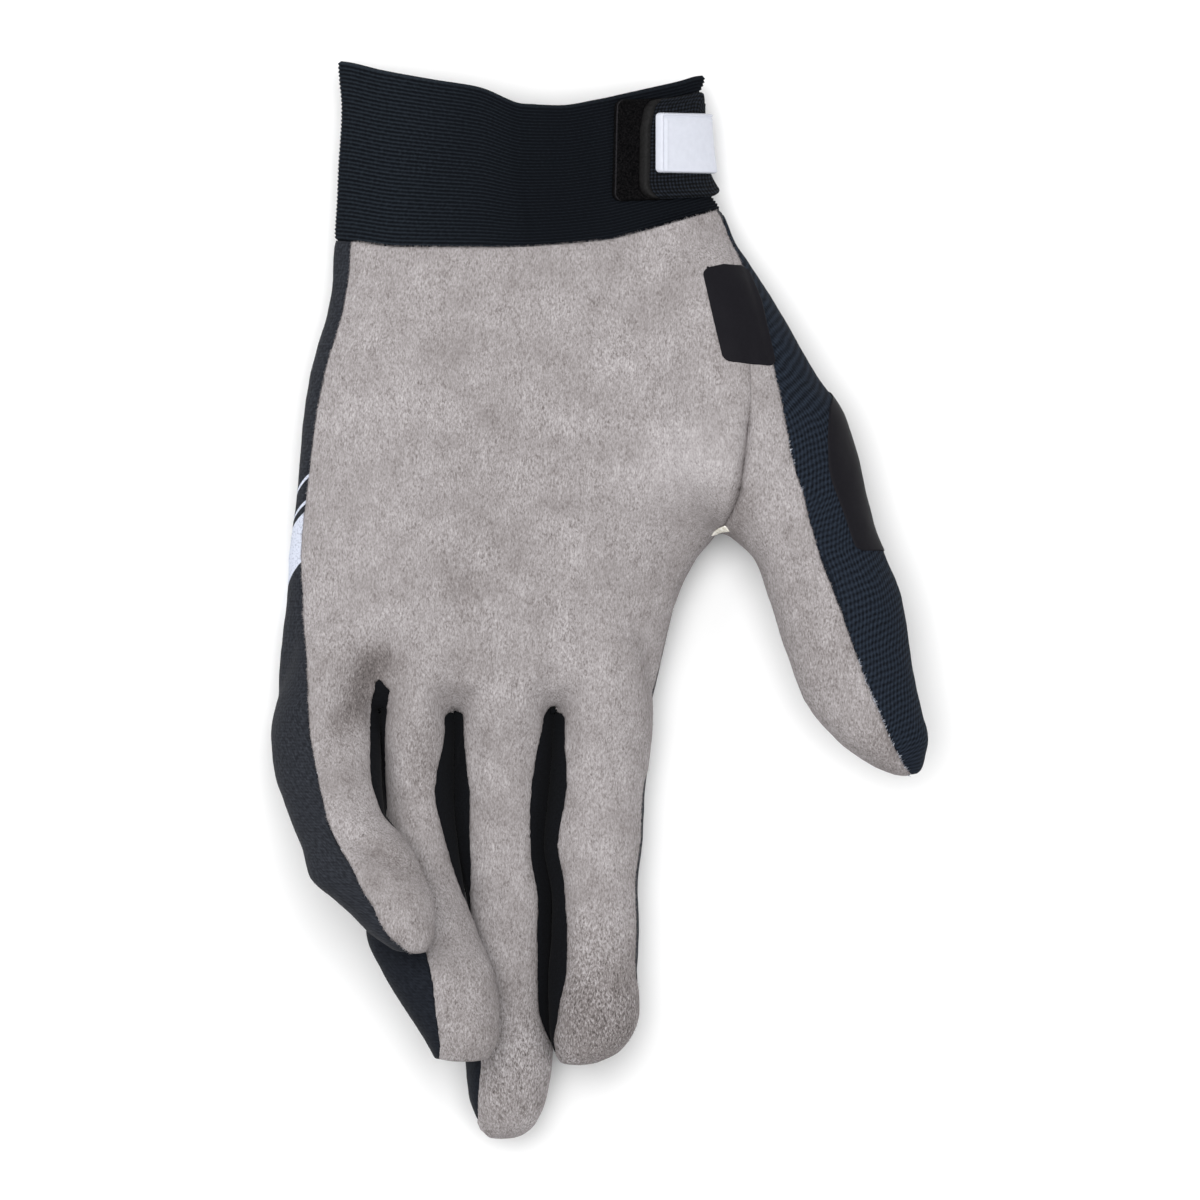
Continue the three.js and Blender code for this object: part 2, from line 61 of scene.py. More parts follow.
BODY = np.array([
    [96, -58.2, 21.4, -1.0, 20.0, 1.5, -56, 20],
    [90, -58.5, 24.6, -1.0, 19.5, 1.4, -56, 22.6],
    [86, -58.8, 27.5, -1.5, 19.5, 1.3, -56, 26],
    [80, -59.2, 29.6, -2.0, 20.5, 1.2, -55.6, 28.4],
    [67, -60.4, 35.0, -3.0, 23.0, 1.0, -56.8, 34],
    [50, -64.6, 38.5, -3.0, 25.0, 0.9, -61.4, 37],
    [41, -66.0, 38.5, -3.0, 25.5, 0.9, -63.1, 37],
    [32, -66.9, 37.5, -3.0, 25.5, 0.9, -64.3, 36],
    [24, -67.5, 35.0, -3.0, 25.5, 0.9, -65.3, 33],
    [16, -68.5, 27.0, -3.0, 25.0, 0.9, -66.2, 27],
    [9, -69.5, 21.0, -3.0, 25.0, 0.9, -66.6, 24],
    [0, -69.8, 17.0, -3.0, 24.5, 0.9, -66.2, 19],
    [-18, -71.8, 13.0, -2.0, 22.5, 0.9, -64.9, 14],
    [-24, -71.5, 11.5, -1.0, 17.0, 0.9, -64.5, 12.5],
])
THUMB = np.array([
    [90, -2.0, 25.2, 0.0, 18.5, 1.3, -2, 24.0],
    [86, -2.0, 27.8, 0.0, 19.0, 1.3, -2, 26.7],
    [80, -2.0, 30.2, 0.0, 19.5, 1.2, -2, 29.2],
    [75.5, 3.0, 33.3, -0.5, 21.5, 1.1, 3, 31.3],
    [67, 6.0, 38.6, -1.0, 24.5, 1.0, 6, 34.2],
    [50, 8.0, 48.4, -1.0, 29.0, 1.0, 8, 39],
    [41, 9.0, 54.5, -0.5, 30.0, 1.0, 9, 41],
    [32, 11.0, 57.2, 0.5, 30.0, 1.0, 11, 42.5],
    [24, 16.0, 59.1, 2.0, 29.5, 1.0, 16, 45],
    [16, 27.0, 61.1, 4.0, 29.5, 1.0, 27, 47],
    [9, 34.5, 63.8, 5.5, 30.0, 1.0, 34.5, 49],
    [0, 38.0, 67.4, 7.5, 30.5, 1.0, 38, 52.5],
    [-18, 44.0, 70.1, 11.5, 31.5, 1.0, 44, 59],
    [-25, 47.5, 71.5, 13.0, 31.5, 1.0, 47.5, 62],
    [-31, 53.0, 73.0, 15.0, 31.0, 1.0, 53, 64.5],
    [-35, 58.5, 72.4, 17.0, 30.0, 1.0, 59, 66.5],
    [-37.6, 63.0, 71.6, 19.0, 28.5, 1.0, 63, 68],
    [-38.9, 66.0, 70.2, 21.5, 26.5, 1.0, 66.5, 69],
])
FINGERS = [
    np.array([
        [-13, -71.0, -48.5, 1.0, 23.5, 0.9, -65.3, -50],
        [-24, -72.8, -49.5, 2.0, 25.0, 0.95, -64.8, -50.3],
        [-31, -73.3, -50.0, 4.5, 26.0, 1.0, -64.2, -51.1],
        [-39, -72.3, -49.5, 8.0, 29.0, 1.0, -62.7, -50.9],
        [-47, -69.5, -48.0, 13.0, 33.0, 1.0, -60.9, -48.6],
        [-54.5, -66.5, -42.5, 19.0, 38.0, 1.0, -57.7, -42.5],
        [-61.5, -64.1, -39.0, 24.5, 42.5, 1.0, -53.8, -39],
        [-68, -57.0, -37.0, 28.5, 45.0, 1.0, -50.2, -37],
        [-74, -50.6, -37.0, 31.5, 46.0, 1.0, -46.8, -37],
        [-78, -44.8, -39.0, 36.0, 44.5, 1.0, -42, -39],
    ]),
    np.array([
        [-13, -48.0, -32.5, 1.0, 23.0, 0.9, -47, -34],
        [-24, -48.5, -33.0, 1.5, 22.5, 0.95, -47.8, -33.8],
        [-43.5, -48.0, -33.5, 1.5, 21.0, 1.0, -47.5, -36.6],
        [-53.5, -49.5, -32.5, 2.5, 22.0, 1.0, -47.7, -34.3],
        [-63.5, -51.5, -31.0, 6.0, 25.0, 1.0, -44.6, -31.5],
        [-73.5, -52.0, -27.5, 11.0, 29.5, 1.0, -40, -27.5],
        [-82.5, -48.5, -24.0, 15.5, 33.5, 1.0, -37.5, -24],
        [-90.5, -43.5, -22.5, 18.0, 35.5, 1.0, -36.5, -22.5],
        [-97, -39.5, -22.5, 21.0, 36.5, 1.0, -35.7, -22.5],
        [-102, -36.5, -25.0, 25.5, 35.0, 1.0, -35.7, -25],
    ]),
    np.array([
        [-13, -31.5, -10.0, 1.0, 22.5, 0.9, -30, -12],
        [-24, -32.0, -10.5, 1.0, 21.5, 0.95, -30.9, -11.8],
        [-34.5, -32.0, -11.0, 1.0, 20.0, 1.0, -30.1, -14.1],
        [-45.5, -32.0, -12.0, 1.0, 19.0, 1.0, -29, -15.5],
        [-57, -31.0, -12.7, 1.0, 18.5, 1.0, -29, -15.2],
        [-68, -29.5, -11.0, 1.0, 18.5, 1.0, -29, -13.7],
        [-90.5, -31.0, -11.7, 1.0, 19.5, 1.0, -26.8, -13.6],
        [-101.5, -30.2, -11.0, 1.0, 20.0, 1.0, -26.5, -11],
        [-110.5, -29.2, -12.0, 2.0, 20.0, 1.0, -27.2, -12],
        [-116.3, -27.2, -14.4, 4.0, 18.8, 1.0, -27.2, -14.4],
        [-119.0, -26.0, -17.0, 6.5, 16.8, 1.0, -25.8, -17],
        [-120.1, -24.5, -19.5, 9.0, 14.5, 1.0, -24.5, -19.5],
    ]),
    np.array([
        [-13, -9.0, 13.0, 1.0, 22.5, 0.9, -8, 14],
        [-24, -10.0, 12.0, 1.0, 22.0, 0.95, -9, 12.5],
        [-33.5, -10.4, 11.0, 1.0, 21.0, 1.0, -7.8, 11],
        [-43.5, -11.0, 10.0, 1.5, 20.5, 1.0, -7.6, 9.5],
        [-53.5, -12.0, 9.5, 2.0, 21.0, 1.0, -9.4, 9.0],
        [-63.5, -10.3, 8.5, 3.0, 21.5, 1.0, -8.1, 7.9],
        [-82.5, -10.8, 8.5, 5.0, 23.0, 1.0, -7.5, 8.1],
        [-90.5, -11.0, 8.5, 6.5, 24.0, 1.0, -9.2, 8.5],
        [-96.0, -10.8, 7.6, 8.2, 24.5, 1.0, -10, 7.4],
        [-100.6, -10.0, 4.2, 10.5, 23.6, 1.0, -9.8, 4.2],
        [-103.2, -8.4, -1.5, 13.5, 21.5, 1.0, -8.4, -1.5],
    ]),
]


def smooth_through(places, values, at):
    """A smooth curve through values at rising places, with no overshoot, read at any place."""
    gaps = np.diff(places)
    slopes = np.diff(values) / gaps
    before = slopes[:-1]
    after = slopes[1:]
    turning = before * after <= 0
    shared = 2 * before * after / np.where(turning, 1, before + after)
    tangents = np.concatenate(([slopes[0]], np.where(turning, 0, shared), [slopes[-1]]))
    step = np.clip(np.searchsorted(places, at) - 1, 0, len(gaps) - 1)
    t = np.clip((at - places[step]) / gaps[step], 0, 1)
    start = values[step] * (1 + 2 * t) * (1 - t) ** 2
    end = values[step + 1] * t * t * (3 - 2 * t)
    leaving = tangents[step] * gaps[step] * t * (1 - t) ** 2
    arriving = tangents[step + 1] * gaps[step] * t * t * (t - 1)
    return start + end + leaving + arriving


def sections(rows, y):
    """Every column of a table at the places y, in an array with a row for each place."""
    columns = [smooth_through(rows[::-1, 0], rows[::-1, c], y) for c in range(1, rows.shape[1])]
    return np.column_stack([y, *columns])


def middle_and_half(section):
    """Middle X and Z, and half width and half height, of each section."""
    middle_x = (section[:, 1] + section[:, 2]) / 2
    middle_z = (section[:, 3] + section[:, 4]) / 2
    half_x = (section[:, 2] - section[:, 1]) / 2
    half_z = (section[:, 4] - section[:, 3]) / 2
    return middle_x, middle_z, half_x, half_z


MOST_COSINE = 0.999


def ring_point(section, degrees, outset):
    """The point of each section at an angle, 0 towards the thumb and 90 out of the palm."""
    middle_x, middle_z, half_x, half_z = middle_and_half(section)
    angle = np.radians(degrees)
    up = np.sign(np.sin(angle)) * np.abs(np.sin(angle)) ** section[:, 5]
    x = middle_x + (half_x + outset) * np.cos(angle)
    z = middle_z + (half_z + outset) * up
    return np.column_stack([x, section[:, 0], z])


def seam_angle(section, x):
    """The angle round each section at which its upper side reaches an X."""
    middle_x, half_x = middle_and_half(section)[::2]
    return np.degrees(np.arccos(np.clip((x - middle_x) / half_x, -MOST_COSINE, MOST_COSINE)))


SIDES = 72
ROW_STEP = 0.8


def closed_tube(rows):
    """Points and faces of one closed tube round a table of sections."""
    count = int((rows[0, 0] - rows[-1, 0]) / ROW_STEP)
    places = np.linspace(rows[0, 0], rows[-1, 0], count)
    table = sections(rows, places)
    angles = np.arange(SIDES) * 360 / SIDES
    rings = [ring_point(table, np.full(count, angle), 0) for angle in angles]
    points = np.stack(rings, axis=1).reshape(-1, 3)
    here = np.arange(SIDES)
    after = (here + 1) % SIDES
    faces = []
    for r in range(count - 1):
        low = r * SIDES
        quads = np.column_stack([low + here, low + SIDES + here, low + SIDES + after, low + after])
        faces.extend(quads.tolist())
    faces.append(here.tolist())
    faces.append((here[::-1] + (count - 1) * SIDES).tolist())
    return points, faces


# The fingers are first made straight, thin and spread, so that the skin closes round each
# of them: where each starts at its root, how far it turns out for each mm of its length.
SPREAD = [(-60.8, -0.26), (-40.8, -0.07), (-21.4, 0.02), (1.4, 0.07)]
SPREAD_FROM = -20.0
THINNER = 1.0
STRAIGHT_Z = 12.0
# Towards the palm each of them shrinks into the body: place along Y, share of its size.
ROOT_SHARES = [(14.0, 0.5), (0.0, 0.78)]


def straightened(rows, root_x, turn):
    middle_x, _, half_x, half_z = middle_and_half(rows)
    centre = root_x + turn * (SPREAD_FROM - rows[:, 0])
    thin = half_x - THINNER
    made = rows.copy()
    made[:, 1] = centre - thin
    made[:, 2] = centre + thin
    made[:, 3] = STRAIGHT_Z - half_z
    made[:, 4] = STRAIGHT_Z + half_z
    for column in (6, 7):
        made[:, column] = centre + (rows[:, column] - middle_x) / half_x * thin
    roots = []
    for root_y, share in ROOT_SHARES:
        root = made[0].copy()
        root[0] = root_y
        root[[1, 2, 6, 7]] = centre[0] + (made[0, [1, 2, 6, 7]] - centre[0]) * share
        root[[3, 4]] = STRAIGHT_Z + (made[0, [3, 4]] - STRAIGHT_Z) * share
        roots.append(root)
    return np.vstack([*roots, made])


straight_fingers = [
    straightened(rows, root_x, turn) for rows, (root_x, turn) in zip(FINGERS, SPREAD)
]


def new_object(name, points, faces, smooth=True):
    """A mesh object of points in metres."""
    mesh = bpy.data.meshes.new(name)
    mesh.from_pydata(np.asarray(points).tolist(), [], [list(face) for face in faces])
    mesh.update()
    if smooth:
        mesh.shade_smooth()
    made = bpy.data.objects.new(name, mesh)
    bpy.context.collection.objects.link(made)
    return made


def make_active(piece):
    bpy.ops.object.select_all(action="DESELECT")
    piece.select_set(True)
    bpy.context.view_layer.objects.active = piece


# The tubes are welded into one skin, whose folds at the roots are then eased.
VOXEL = 0.9 * MM
EASE_FACTOR = 0.5
EASE_ROUNDS = 8
all_points = []
all_faces = []
for rows in [BODY, THUMB, *straight_fingers]:
    points, faces = closed_tube(rows)
    first = sum(len(part) for part in all_points)
    all_points.append(points)
    all_faces.extend([[corner + first for corner in face] for face in faces])
form = new_object("form", np.concatenate(all_points) * MM, all_faces)
make_active(form)
weld = form.modifiers.new("weld", "REMESH")
weld.mode = "VOXEL"
weld.voxel_size = VOXEL
bpy.ops.object.modifier_apply(modifier="weld")
ease = form.modifiers.new("ease", "SMOOTH")
ease.factor = EASE_FACTOR
ease.iterations = EASE_ROUNDS
bpy.ops.object.modifier_apply(modifier="ease")
points = np.empty(len(form.data.vertices) * 3)
form.data.vertices.foreach_get("co", points)
points = points.reshape(-1, 3) / MM
form.data.calc_loop_triangles()
faces = np.empty(len(form.data.loop_triangles) * 3, dtype=int)
form.data.loop_triangles.foreach_get("vertices", faces)
faces = faces.reshape(-1, 3)
bpy.data.objects.remove(form)


# The thumb's base stands out of the palm; the fold between them, given here by Y and X,
# is smoothed away on the palm side. Each range goes from full smoothing to none.
FOLD = np.array([[15, 25], [18, 23.5], [24, 17], [32, 11.5], [41, 9], [50, 8], [67, 6], [76, 3]])
FOLD_ROUNDS = 45
FOLD_SIDES = (7, 13)
FOLD_FOOT = (13, 9)
FOLD_FINGER_END = (14, 11)
FOLD_WRIST_END = (70, 78)


def fade(value, start, end):
    """0 up to start, 1 from end on, and an even change between."""
    return np.clip((value - start) / (end - start), 0, 1)


from_fold = np.abs(points[:, 0] - np.interp(points[:, 1], FOLD[:, 0], FOLD[:, 1]))
outside_fold = fade(from_fold, *FOLD_SIDES) + fade(points[:, 2], *FOLD_FOOT)
outside_fold += fade(points[:, 1], *FOLD_FINGER_END) + fade(points[:, 1], *FOLD_WRIST_END)
smoothing = np.clip(1 - outside_fold, 0, 1)[:, None]
pairs = np.concatenate([faces[:, [0, 1]], faces[:, [1, 2]], faces[:, [2, 0]]])
pairs = pairs[(smoothing[pairs[:, 0], 0] > 0) | (smoothing[pairs[:, 1], 0] > 0)]
neighbours = np.bincount(pairs[:, 0], minlength=len(points))[:, None]
for attempt in range(FOLD_ROUNDS):
    mean = np.column_stack([
        np.bincount(pairs[:, 0], weights=points[pairs[:, 1], axis], minlength=len(points))
        for axis in range(3)
    ]) / np.maximum(neighbours, 1)
    points = points + (mean - points) * smoothing * EASE_FACTOR * (neighbours > 2)


# Where the seams run. Each field is a distance in mm, positive on one side of a seam.
WRIST_SEAM = np.array([
    [-75, 81.5], [-56, 80], [-44.5, 78.6], [-22, 78.5], [0, 80], [11, 82.5], [22, 85.7], [26.5, 87],
    [40, 90],
])
THUMB_SEAM = np.array([
    [-60, 24], [5, 25], [16, 27.6], [20, 29.6], [24, 31.0], [30, 31.9], [38, 32.8], [45, 33.5],
    [56, 33.2], [67, 31], [90, 27],
])
THUMB_ZONE = np.array([
    [-60, 30.5], [12, 30.5], [20, 26], [28, 22.3], [35, 20.5], [45, 20.5], [60, 19], [78, 14],
])
THUMB_BACK_SEAM = 214.0
BACK_SEAM = -58.0
# Between two fingers the suede is cut open: places along Y, middle X and half width.
SLITS = [
    np.array([[-17.4, -49.5, 0.35], [-20.2, -48.5, 1.75], [-24.4, -49.45, 1.95], [-33, -50.2, 1.6]]),
    np.array([[-26.2, -32.4, 1.6], [-27.5, -32.4, 1.9], [-29.5, -32.4, 2.05], [-33, -32.8, 2.6]]),
    np.array([[-25.1, -10.4, 1.3], [-27, -10.4, 1.5], [-33, -10.9, 2.0]]),
]
# The side strips start at the fingers' roots, sooner on the palm side than underneath.
SIDE_ROOT = -22.0
HIGH_SIDE_ROOT = -10.0


def rise(value, start, end):
    """0 before start, 1 after end, and a smooth rise between."""
    t = fade(value, start, end)
    return t * t * (3 - 2 * t)


def section_angle(points, section):
    """The angle of points round their sections, from -90 under the hand to 270."""
    middle_x, middle_z, half_x, half_z = middle_and_half(section)
    across = (points[:, 0] - middle_x) / half_x
    up = (points[:, 2] - middle_z) / half_z
    up = np.sign(up) * np.abs(up) ** (1 / section[:, 5])
    angle = np.degrees(np.arctan2(up, across))
    return np.where(angle < -90, angle + 360, angle)


def girth_radius(section):
    half_x, half_z = middle_and_half(section)[2:]
    return np.sqrt((half_x ** 2 + half_z ** 2) / 2)


# Where the suede ends this near the outline, as a share, it is turned under it by an angle.
NEAR_OUTLINE = (0.965, 0.995)
TURNED_UNDER = 14.0


def suede_reach(angle, section, left_angle=None):
    """Distances inside the suede, from its right end and from its left end."""
    middle_x, half_x = middle_and_half(section)[::2]
    right_share = (section[:, 7] - middle_x) / half_x
    left_share = (middle_x - section[:, 6]) / half_x
    start = seam_angle(section, section[:, 7]) - TURNED_UNDER * rise(right_share, *NEAR_OUTLINE)
    end = seam_angle(section, section[:, 6]) + TURNED_UNDER * rise(left_share, *NEAR_OUTLINE)
    if left_angle is not None:
        end = left_angle
    radius = girth_radius(section)
    return np.radians(angle - start) * radius, np.radians(end - angle) * radius


ARC_STEPS = 24


def arc_length(angle, section):
    """How far a point is round its section from the middle of the underside."""
    half_x, half_z = middle_and_half(section)[2:]
    turn = np.radians(np.where(angle > 90, angle - 360, angle) + 90)
    total = np.zeros(len(angle))
    for step in range(ARC_STEPS):
        here = turn * (step + 0.5) / ARC_STEPS
        total += np.hypot(half_x * np.cos(here), half_z * np.sin(here))
    return total * turn / ARC_STEPS


SIDE_SHARES = (0.55, 0.85)
HELD_SHARES = (0.08, 0.2)
NO_SLIT_NEAR = 50.0


def nearness_to_side(points, section):
    """0 over the middle of a section, 1 near its two sides."""
    middle_x, half_x = middle_and_half(section)[::2]
    return rise(np.abs(points[:, 0] - middle_x) / half_x, *SIDE_SHARES)


def settled(points, section, angle, share):
    """Points near their section, which the weld had drawn in, moved back on to it."""
    middle_x, middle_z, half_x, half_z = middle_and_half(section)
    across = (points[:, 0] - middle_x) / half_x
    up = np.abs(points[:, 2] - middle_z) / half_z
    reach = np.hypot(across, up ** (1 / section[:, 5]))
    hold = (1 - rise(np.abs(reach - 1), *HELD_SHARES)) * share
    return points + (ring_point(section, angle, 0) - points) * hold[:, None]


def slit_distance(x, y):
    """Distance from the nearest cut between two fingers, negative inside it."""
    nearest = np.full(len(x), NO_SLIT_NEAR)
    for rows in SLITS:
        middle = np.interp(-y, -rows[:, 0], rows[:, 1])
        half = np.interp(-y, -rows[:, 0], rows[:, 2])
        nearest = np.minimum(nearest, np.hypot(x - middle, np.maximum(0, y - rows[0, 0])) - half)
    return nearest


# What lies beyond a seam's reach counts as this far on its other side.
FAR_SIDE = -20.0
THUMB_BLEND = 1.5
# Where the body's and the thumb's sections hold the skin, by place along Y from none to full.
BODY_HELD = (-12, 0)
THUMB_HELD = (0, -10)
THUMB_OUTER_FROM = 10
y = points[:, 1]
body_section = sections(BODY, y)
thumb_section = sections(THUMB, y)
body_angle = section_angle(points, body_section)
thumb_angle = section_angle(points, thumb_section)
into_thumb = points[:, 0] - np.interp(y, THUMB_ZONE[:, 0], THUMB_ZONE[:, 1])
in_thumb = rise(into_thumb, -THUMB_BLEND, THUMB_BLEND)
by_body = (1 - in_thumb) * rise(y, *BODY_HELD) * nearness_to_side(points, body_section)
by_body *= 1 - smoothing[:, 0]
thumb_outer = points[:, 0] > thumb_section[:, 1] + THUMB_OUTER_FROM
by_thumb = np.maximum(nearness_to_side(points, thumb_section) * thumb_outer, rise(y, *THUMB_HELD))
by_thumb *= in_thumb
points = settled(points, body_section, body_angle, by_body)
points = settled(points, thumb_section, thumb_angle, by_thumb)
x = points[:, 0]
body_right, body_left = suede_reach(body_angle, body_section)
# Towards the fingers' roots the outer seams follow the plan, seen from above.
ROOT_HEIGHT = 12.0
PLAN_FROM = (8, -3)
above_root = points[:, 2] - ROOT_HEIGHT
by_plan = rise(y, *PLAN_FROM) * (1 - in_thumb)
body_left += (np.minimum(x - body_section[:, 6], above_root) - body_left) * by_plan
body_right += (np.minimum(body_section[:, 7] - x, above_root) - body_right) * by_plan
body_suede = np.minimum(np.minimum(body_right, body_left), slit_distance(x, y))
thumb_suede = np.minimum(*suede_reach(thumb_angle, thumb_section, THUMB_BACK_SEAM))
suede = body_suede * (1 - in_thumb) + thumb_suede * in_thumb
side = np.full(len(x), FAR_SIDE)
arc = middle_and_half(body_section)[0] + arc_length(body_angle, body_section)
thumb_arc = arc_length(thumb_angle, thumb_section)
slit_number = np.zeros(len(x))

# Which finger each point belongs to, and the straight and the bent place of its section
FINGERS_FROM = -12
RIGHT_OF_FINGERS = 20
finger_sections = [sections(rows, y) for rows in straight_fingers]
nearness = np.stack([
    np.abs(x - middle_and_half(section)[0]) / middle_and_half(section)[2]
    for section in finger_sections
])
off_fingers = (in_thumb > 0.5) | (x > RIGHT_OF_FINGERS) | (y > FINGERS_FROM)
finger = np.where(off_fingers, -1, nearness.argmin(axis=0))
bent = points.copy()
LITTLE, INDEX = 0, len(FINGERS) - 1
# Each finger swells to meet its neighbour, up to this far short of the shorter one's tip.
TIP_OPEN = 1
TIP_CLOSED = 6
CLOSED_MOST = 2.8
OVERLAP = 0.15
# How each change sets in along a finger, by place along Y from none to full
BEND = (-20, -33)
SETTLING = (-22, -28)
SWELLING = (-22.5, -26)
OWN_SUEDE = (-24.5, -26.5)
SLIT_END = (-28, -33)
PLAN_SEAM = (-12, -24)
OWN_SEAM = (-27, -33)
OWN_ARC = (-12, -40)
# By angle above and below its side, a finger's swelling goes from full to none.
SWELL_ABOVE = (4, 30)
SWELL_BELOW = (25, 75)
# By height over the floor, the side strips' start goes from the low place to the high one.
HIGH_ROOT = (6, 16)
SLIT_LETS_GO = 8.0


def closing(number, other, own_edge, y, towards):
    """How far a finger's side swells, so that it meets its neighbour's and hides the gap."""
    if not 0 <= other < len(FINGERS):
        return np.zeros(len(y))
    column = 1 if towards > 0 else 2
    own_side = sections(FINGERS[number], y)[:, 3 - column]
    meeting = (own_side + sections(FINGERS[other], y)[:, column]) / 2
    shortest = max(FINGERS[number][-1, 0], FINGERS[other][-1, 0])
    room = (meeting - own_edge) * towards + OVERLAP
    return np.clip(room, 0, CLOSED_MOST) * rise(y, shortest + TIP_OPEN, shortest + TIP_CLOSED)


for number, (straight, rows) in enumerate(zip(finger_sections, FINGERS)):
    mine = finger == number
    section = straight[mine]
    own_y = y[mine]
    angle = section_angle(points[mine], section)
    weight = rise(own_y, *OWN_SUEDE)
    flat = settled(points[mine], section, angle, rise(own_y, *SETTLING))
    final = sections(rows, own_y)
    straight_x, straight_z, straight_half_x, straight_half_z = middle_and_half(section)
    final_x, final_z, final_half_x, final_half_z = middle_and_half(final)
    share = rise(own_y, *BEND)
    new_x = final_x + (flat[:, 0] - straight_x) * final_half_x / straight_half_x
    new_z = final_z + (flat[:, 2] - straight_z) * final_half_z / straight_half_z
    placed_x = flat[:, 0] * (1 - share) + new_x * share
    placed_z = flat[:, 2] * (1 - share) + new_z * share
    facing_right = np.abs(angle) < 90
    from_side = np.where(facing_right, angle, 180 - angle)
    right_edge = (straight_x + straight_half_x) * (1 - share) + final[:, 2] * share
    left_edge = (straight_x - straight_half_x) * (1 - share) + final[:, 1] * share
    swell = np.where(
        facing_right,
        closing(number, number + 1, right_edge, own_y, 1),
        -closing(number, number - 1, left_edge, own_y, -1),
    )
    swell *= (1 - rise(from_side, *SWELL_ABOVE)) * (1 - rise(-from_side, *SWELL_BELOW))
    swell *= rise(own_y, *SWELLING)
    bent[mine, 0] = placed_x + swell
    bent[mine, 2] = placed_z

    own_right, own_left = suede_reach(angle, section)
    between = slit_distance(placed_x, own_y)
    # For a little way down its finger each cut keeps its own width.
    held = between + SLIT_LETS_GO * rise(own_y, *SLIT_END)
    right_end = np.minimum(between * (1 - weight) + own_right * weight, held)
    left_end = np.minimum(between * (1 - weight) + own_left * weight, held)
    planned = rise(own_y, *PLAN_SEAM)
    own = rise(own_y, *OWN_SEAM)
    above = placed_z - ROOT_HEIGHT
    if number == INDEX:
        plan = np.minimum(final[:, 7] - placed_x, above)
        right_end = body_right[mine] * (1 - planned) + plan * planned
        right_end = right_end * (1 - own) + own_right * own
    if number == LITTLE:
        plan = np.minimum(placed_x - final[:, 6], above)
        left_end = body_left[mine] * (1 - planned) + plan * planned
        left_end = left_end * (1 - own) + own_left * own
    suede[mine] = np.minimum(right_end, left_end)
    radius = girth_radius(section)
    right = np.radians(angle - BACK_SEAM) * radius
    left = np.radians(180 - BACK_SEAM - angle) * radius
    own_side = np.full(mine.sum(), FAR_SIDE)
    if number < INDEX:
        own_side = np.where(facing_right, right, own_side)
    if number > LITTLE:
        own_side = np.where(~facing_right, left, own_side)
    high = rise(points[mine, 2], *HIGH_ROOT)
    root = SIDE_ROOT * (1 - high) + HIGH_SIDE_ROOT * high - own_y
    side[mine] = np.minimum(own_side, root)
    slit_number[mine] = np.where(facing_right, number, number - 1)
    own_arc = final_x + arc_length(angle, final)
    eased = rise(own_y, *OWN_ARC)
    arc[mine] = arc[mine] * (1 - eased) + own_arc * eased
thumb_side = x - smooth_through(THUMB_SEAM[:, 0], THUMB_SEAM[:, 1], y)
wrist = y - smooth_through(WRIST_SEAM[:, 0], WRIST_SEAM[:, 1], x)


def face_normals(points, faces):
    corners = points[faces]
    return np.cross(corners[:, 1] - corners[:, 0], corners[:, 2] - corners[:, 0])


def point_normals(points, faces):
    across = face_normals(points, faces)
    total = np.zeros_like(points)
    for corner in range(3):
        np.add.at(total, faces[:, corner], across)
    return total / np.maximum(np.linalg.norm(total, axis=1, keepdims=True), 1e-12)


# Hollows and swellings of the palm side: place, reach across and along, turn, height
SWELLS = np.array([
    [-18, 24, 17, 26, 0, -2.2],
    [-49, 38, 12, 26, 0, 1.6],
    [20, 31, 12, 10, 20, 1.3],
    [-54, -22, 4.5, 10, -25, -1.8],
    [-49, -15, 2.5, 7, 0, -1.6],
    [-32.5, -21, 3, 7, 0, -1.4],
    [-10.5, -20, 3, 7, 0, -1.4],
    [-39, -38, 5, 9, 0, -1.0],
    [-20, -70, 5, 8, 10, -0.6],
    [-2, -58, 5, 7, 0, -0.6],
    [52, 8, 6, 9, 0, -0.6],
    [2, 62, 12, 7, 15, -0.9],
])
# Creases of the palm side: start X and Y, end X and Y, reach, depth
CREASES = np.array([
    [-57, -52, -39, -62, 2.2, 0.9],
    [-66, -46, -52, -56, 2.0, 0.5],
    [-27, 7, -31, -0.5, 1.6, 0.5],
    [-22, 12, -24, 4, 1.5, 0.35],
    [33.4, 40, 31, 24, 1.3, 0.9],
    [31, 24, 27, 14, 1.3, 0.9],
    [33, 58, 33.4, 40, 1.5, 0.35],
    [40, 14, 47, -4, 2.0, 0.5],
    [12, 20, 16, 8, 2.4, 0.4],
    [-31, -44, -24, -50, 2.0, 0.35],
    [-30, -88, -18, -92, 2.2, 0.4],
    [-8, -76, 4, -80, 2.2, 0.4],
])


def swell_height(x, y, table):
    height = np.zeros(len(x))
    for place_x, place_y, reach_x, reach_y, turn, rise_mm in table:
        angle = math.radians(turn)
        across = ((x - place_x) * math.cos(angle) + (y - place_y) * math.sin(angle)) / reach_x
        along = ((y - place_y) * math.cos(angle) - (x - place_x) * math.sin(angle)) / reach_y
        height += rise_mm * np.exp(-across ** 2 - along ** 2)
    return height


def crease_depth(x, y, table):
    depth = np.zeros(len(x))
    for start_x, start_y, end_x, end_y, reach, deep in table:
        run = np.array([end_x - start_x, end_y - start_y])
        share = ((x - start_x) * run[0] + (y - start_y) * run[1]) / (run @ run)
        held = np.clip(share, 0, 1)
        away = np.hypot(x - start_x - held * run[0], y - start_y - held * run[1])
        depth += deep * np.exp(-(away / reach) ** 2)
    return depth


SEED_STEP = (7.3, 3.1, 5.7)


def ripples(points, waves):
    """Smooth noise in mm, added up from waves of a height, a size in mm and a seed."""
    total = np.zeros(len(points))
    for height, size, seed in waves:
        shift = Vector([seed * step for step in SEED_STEP])
        total += height * np.array([
            noise.noise(Vector(point) / size + shift) for point in points.tolist()])
    return total


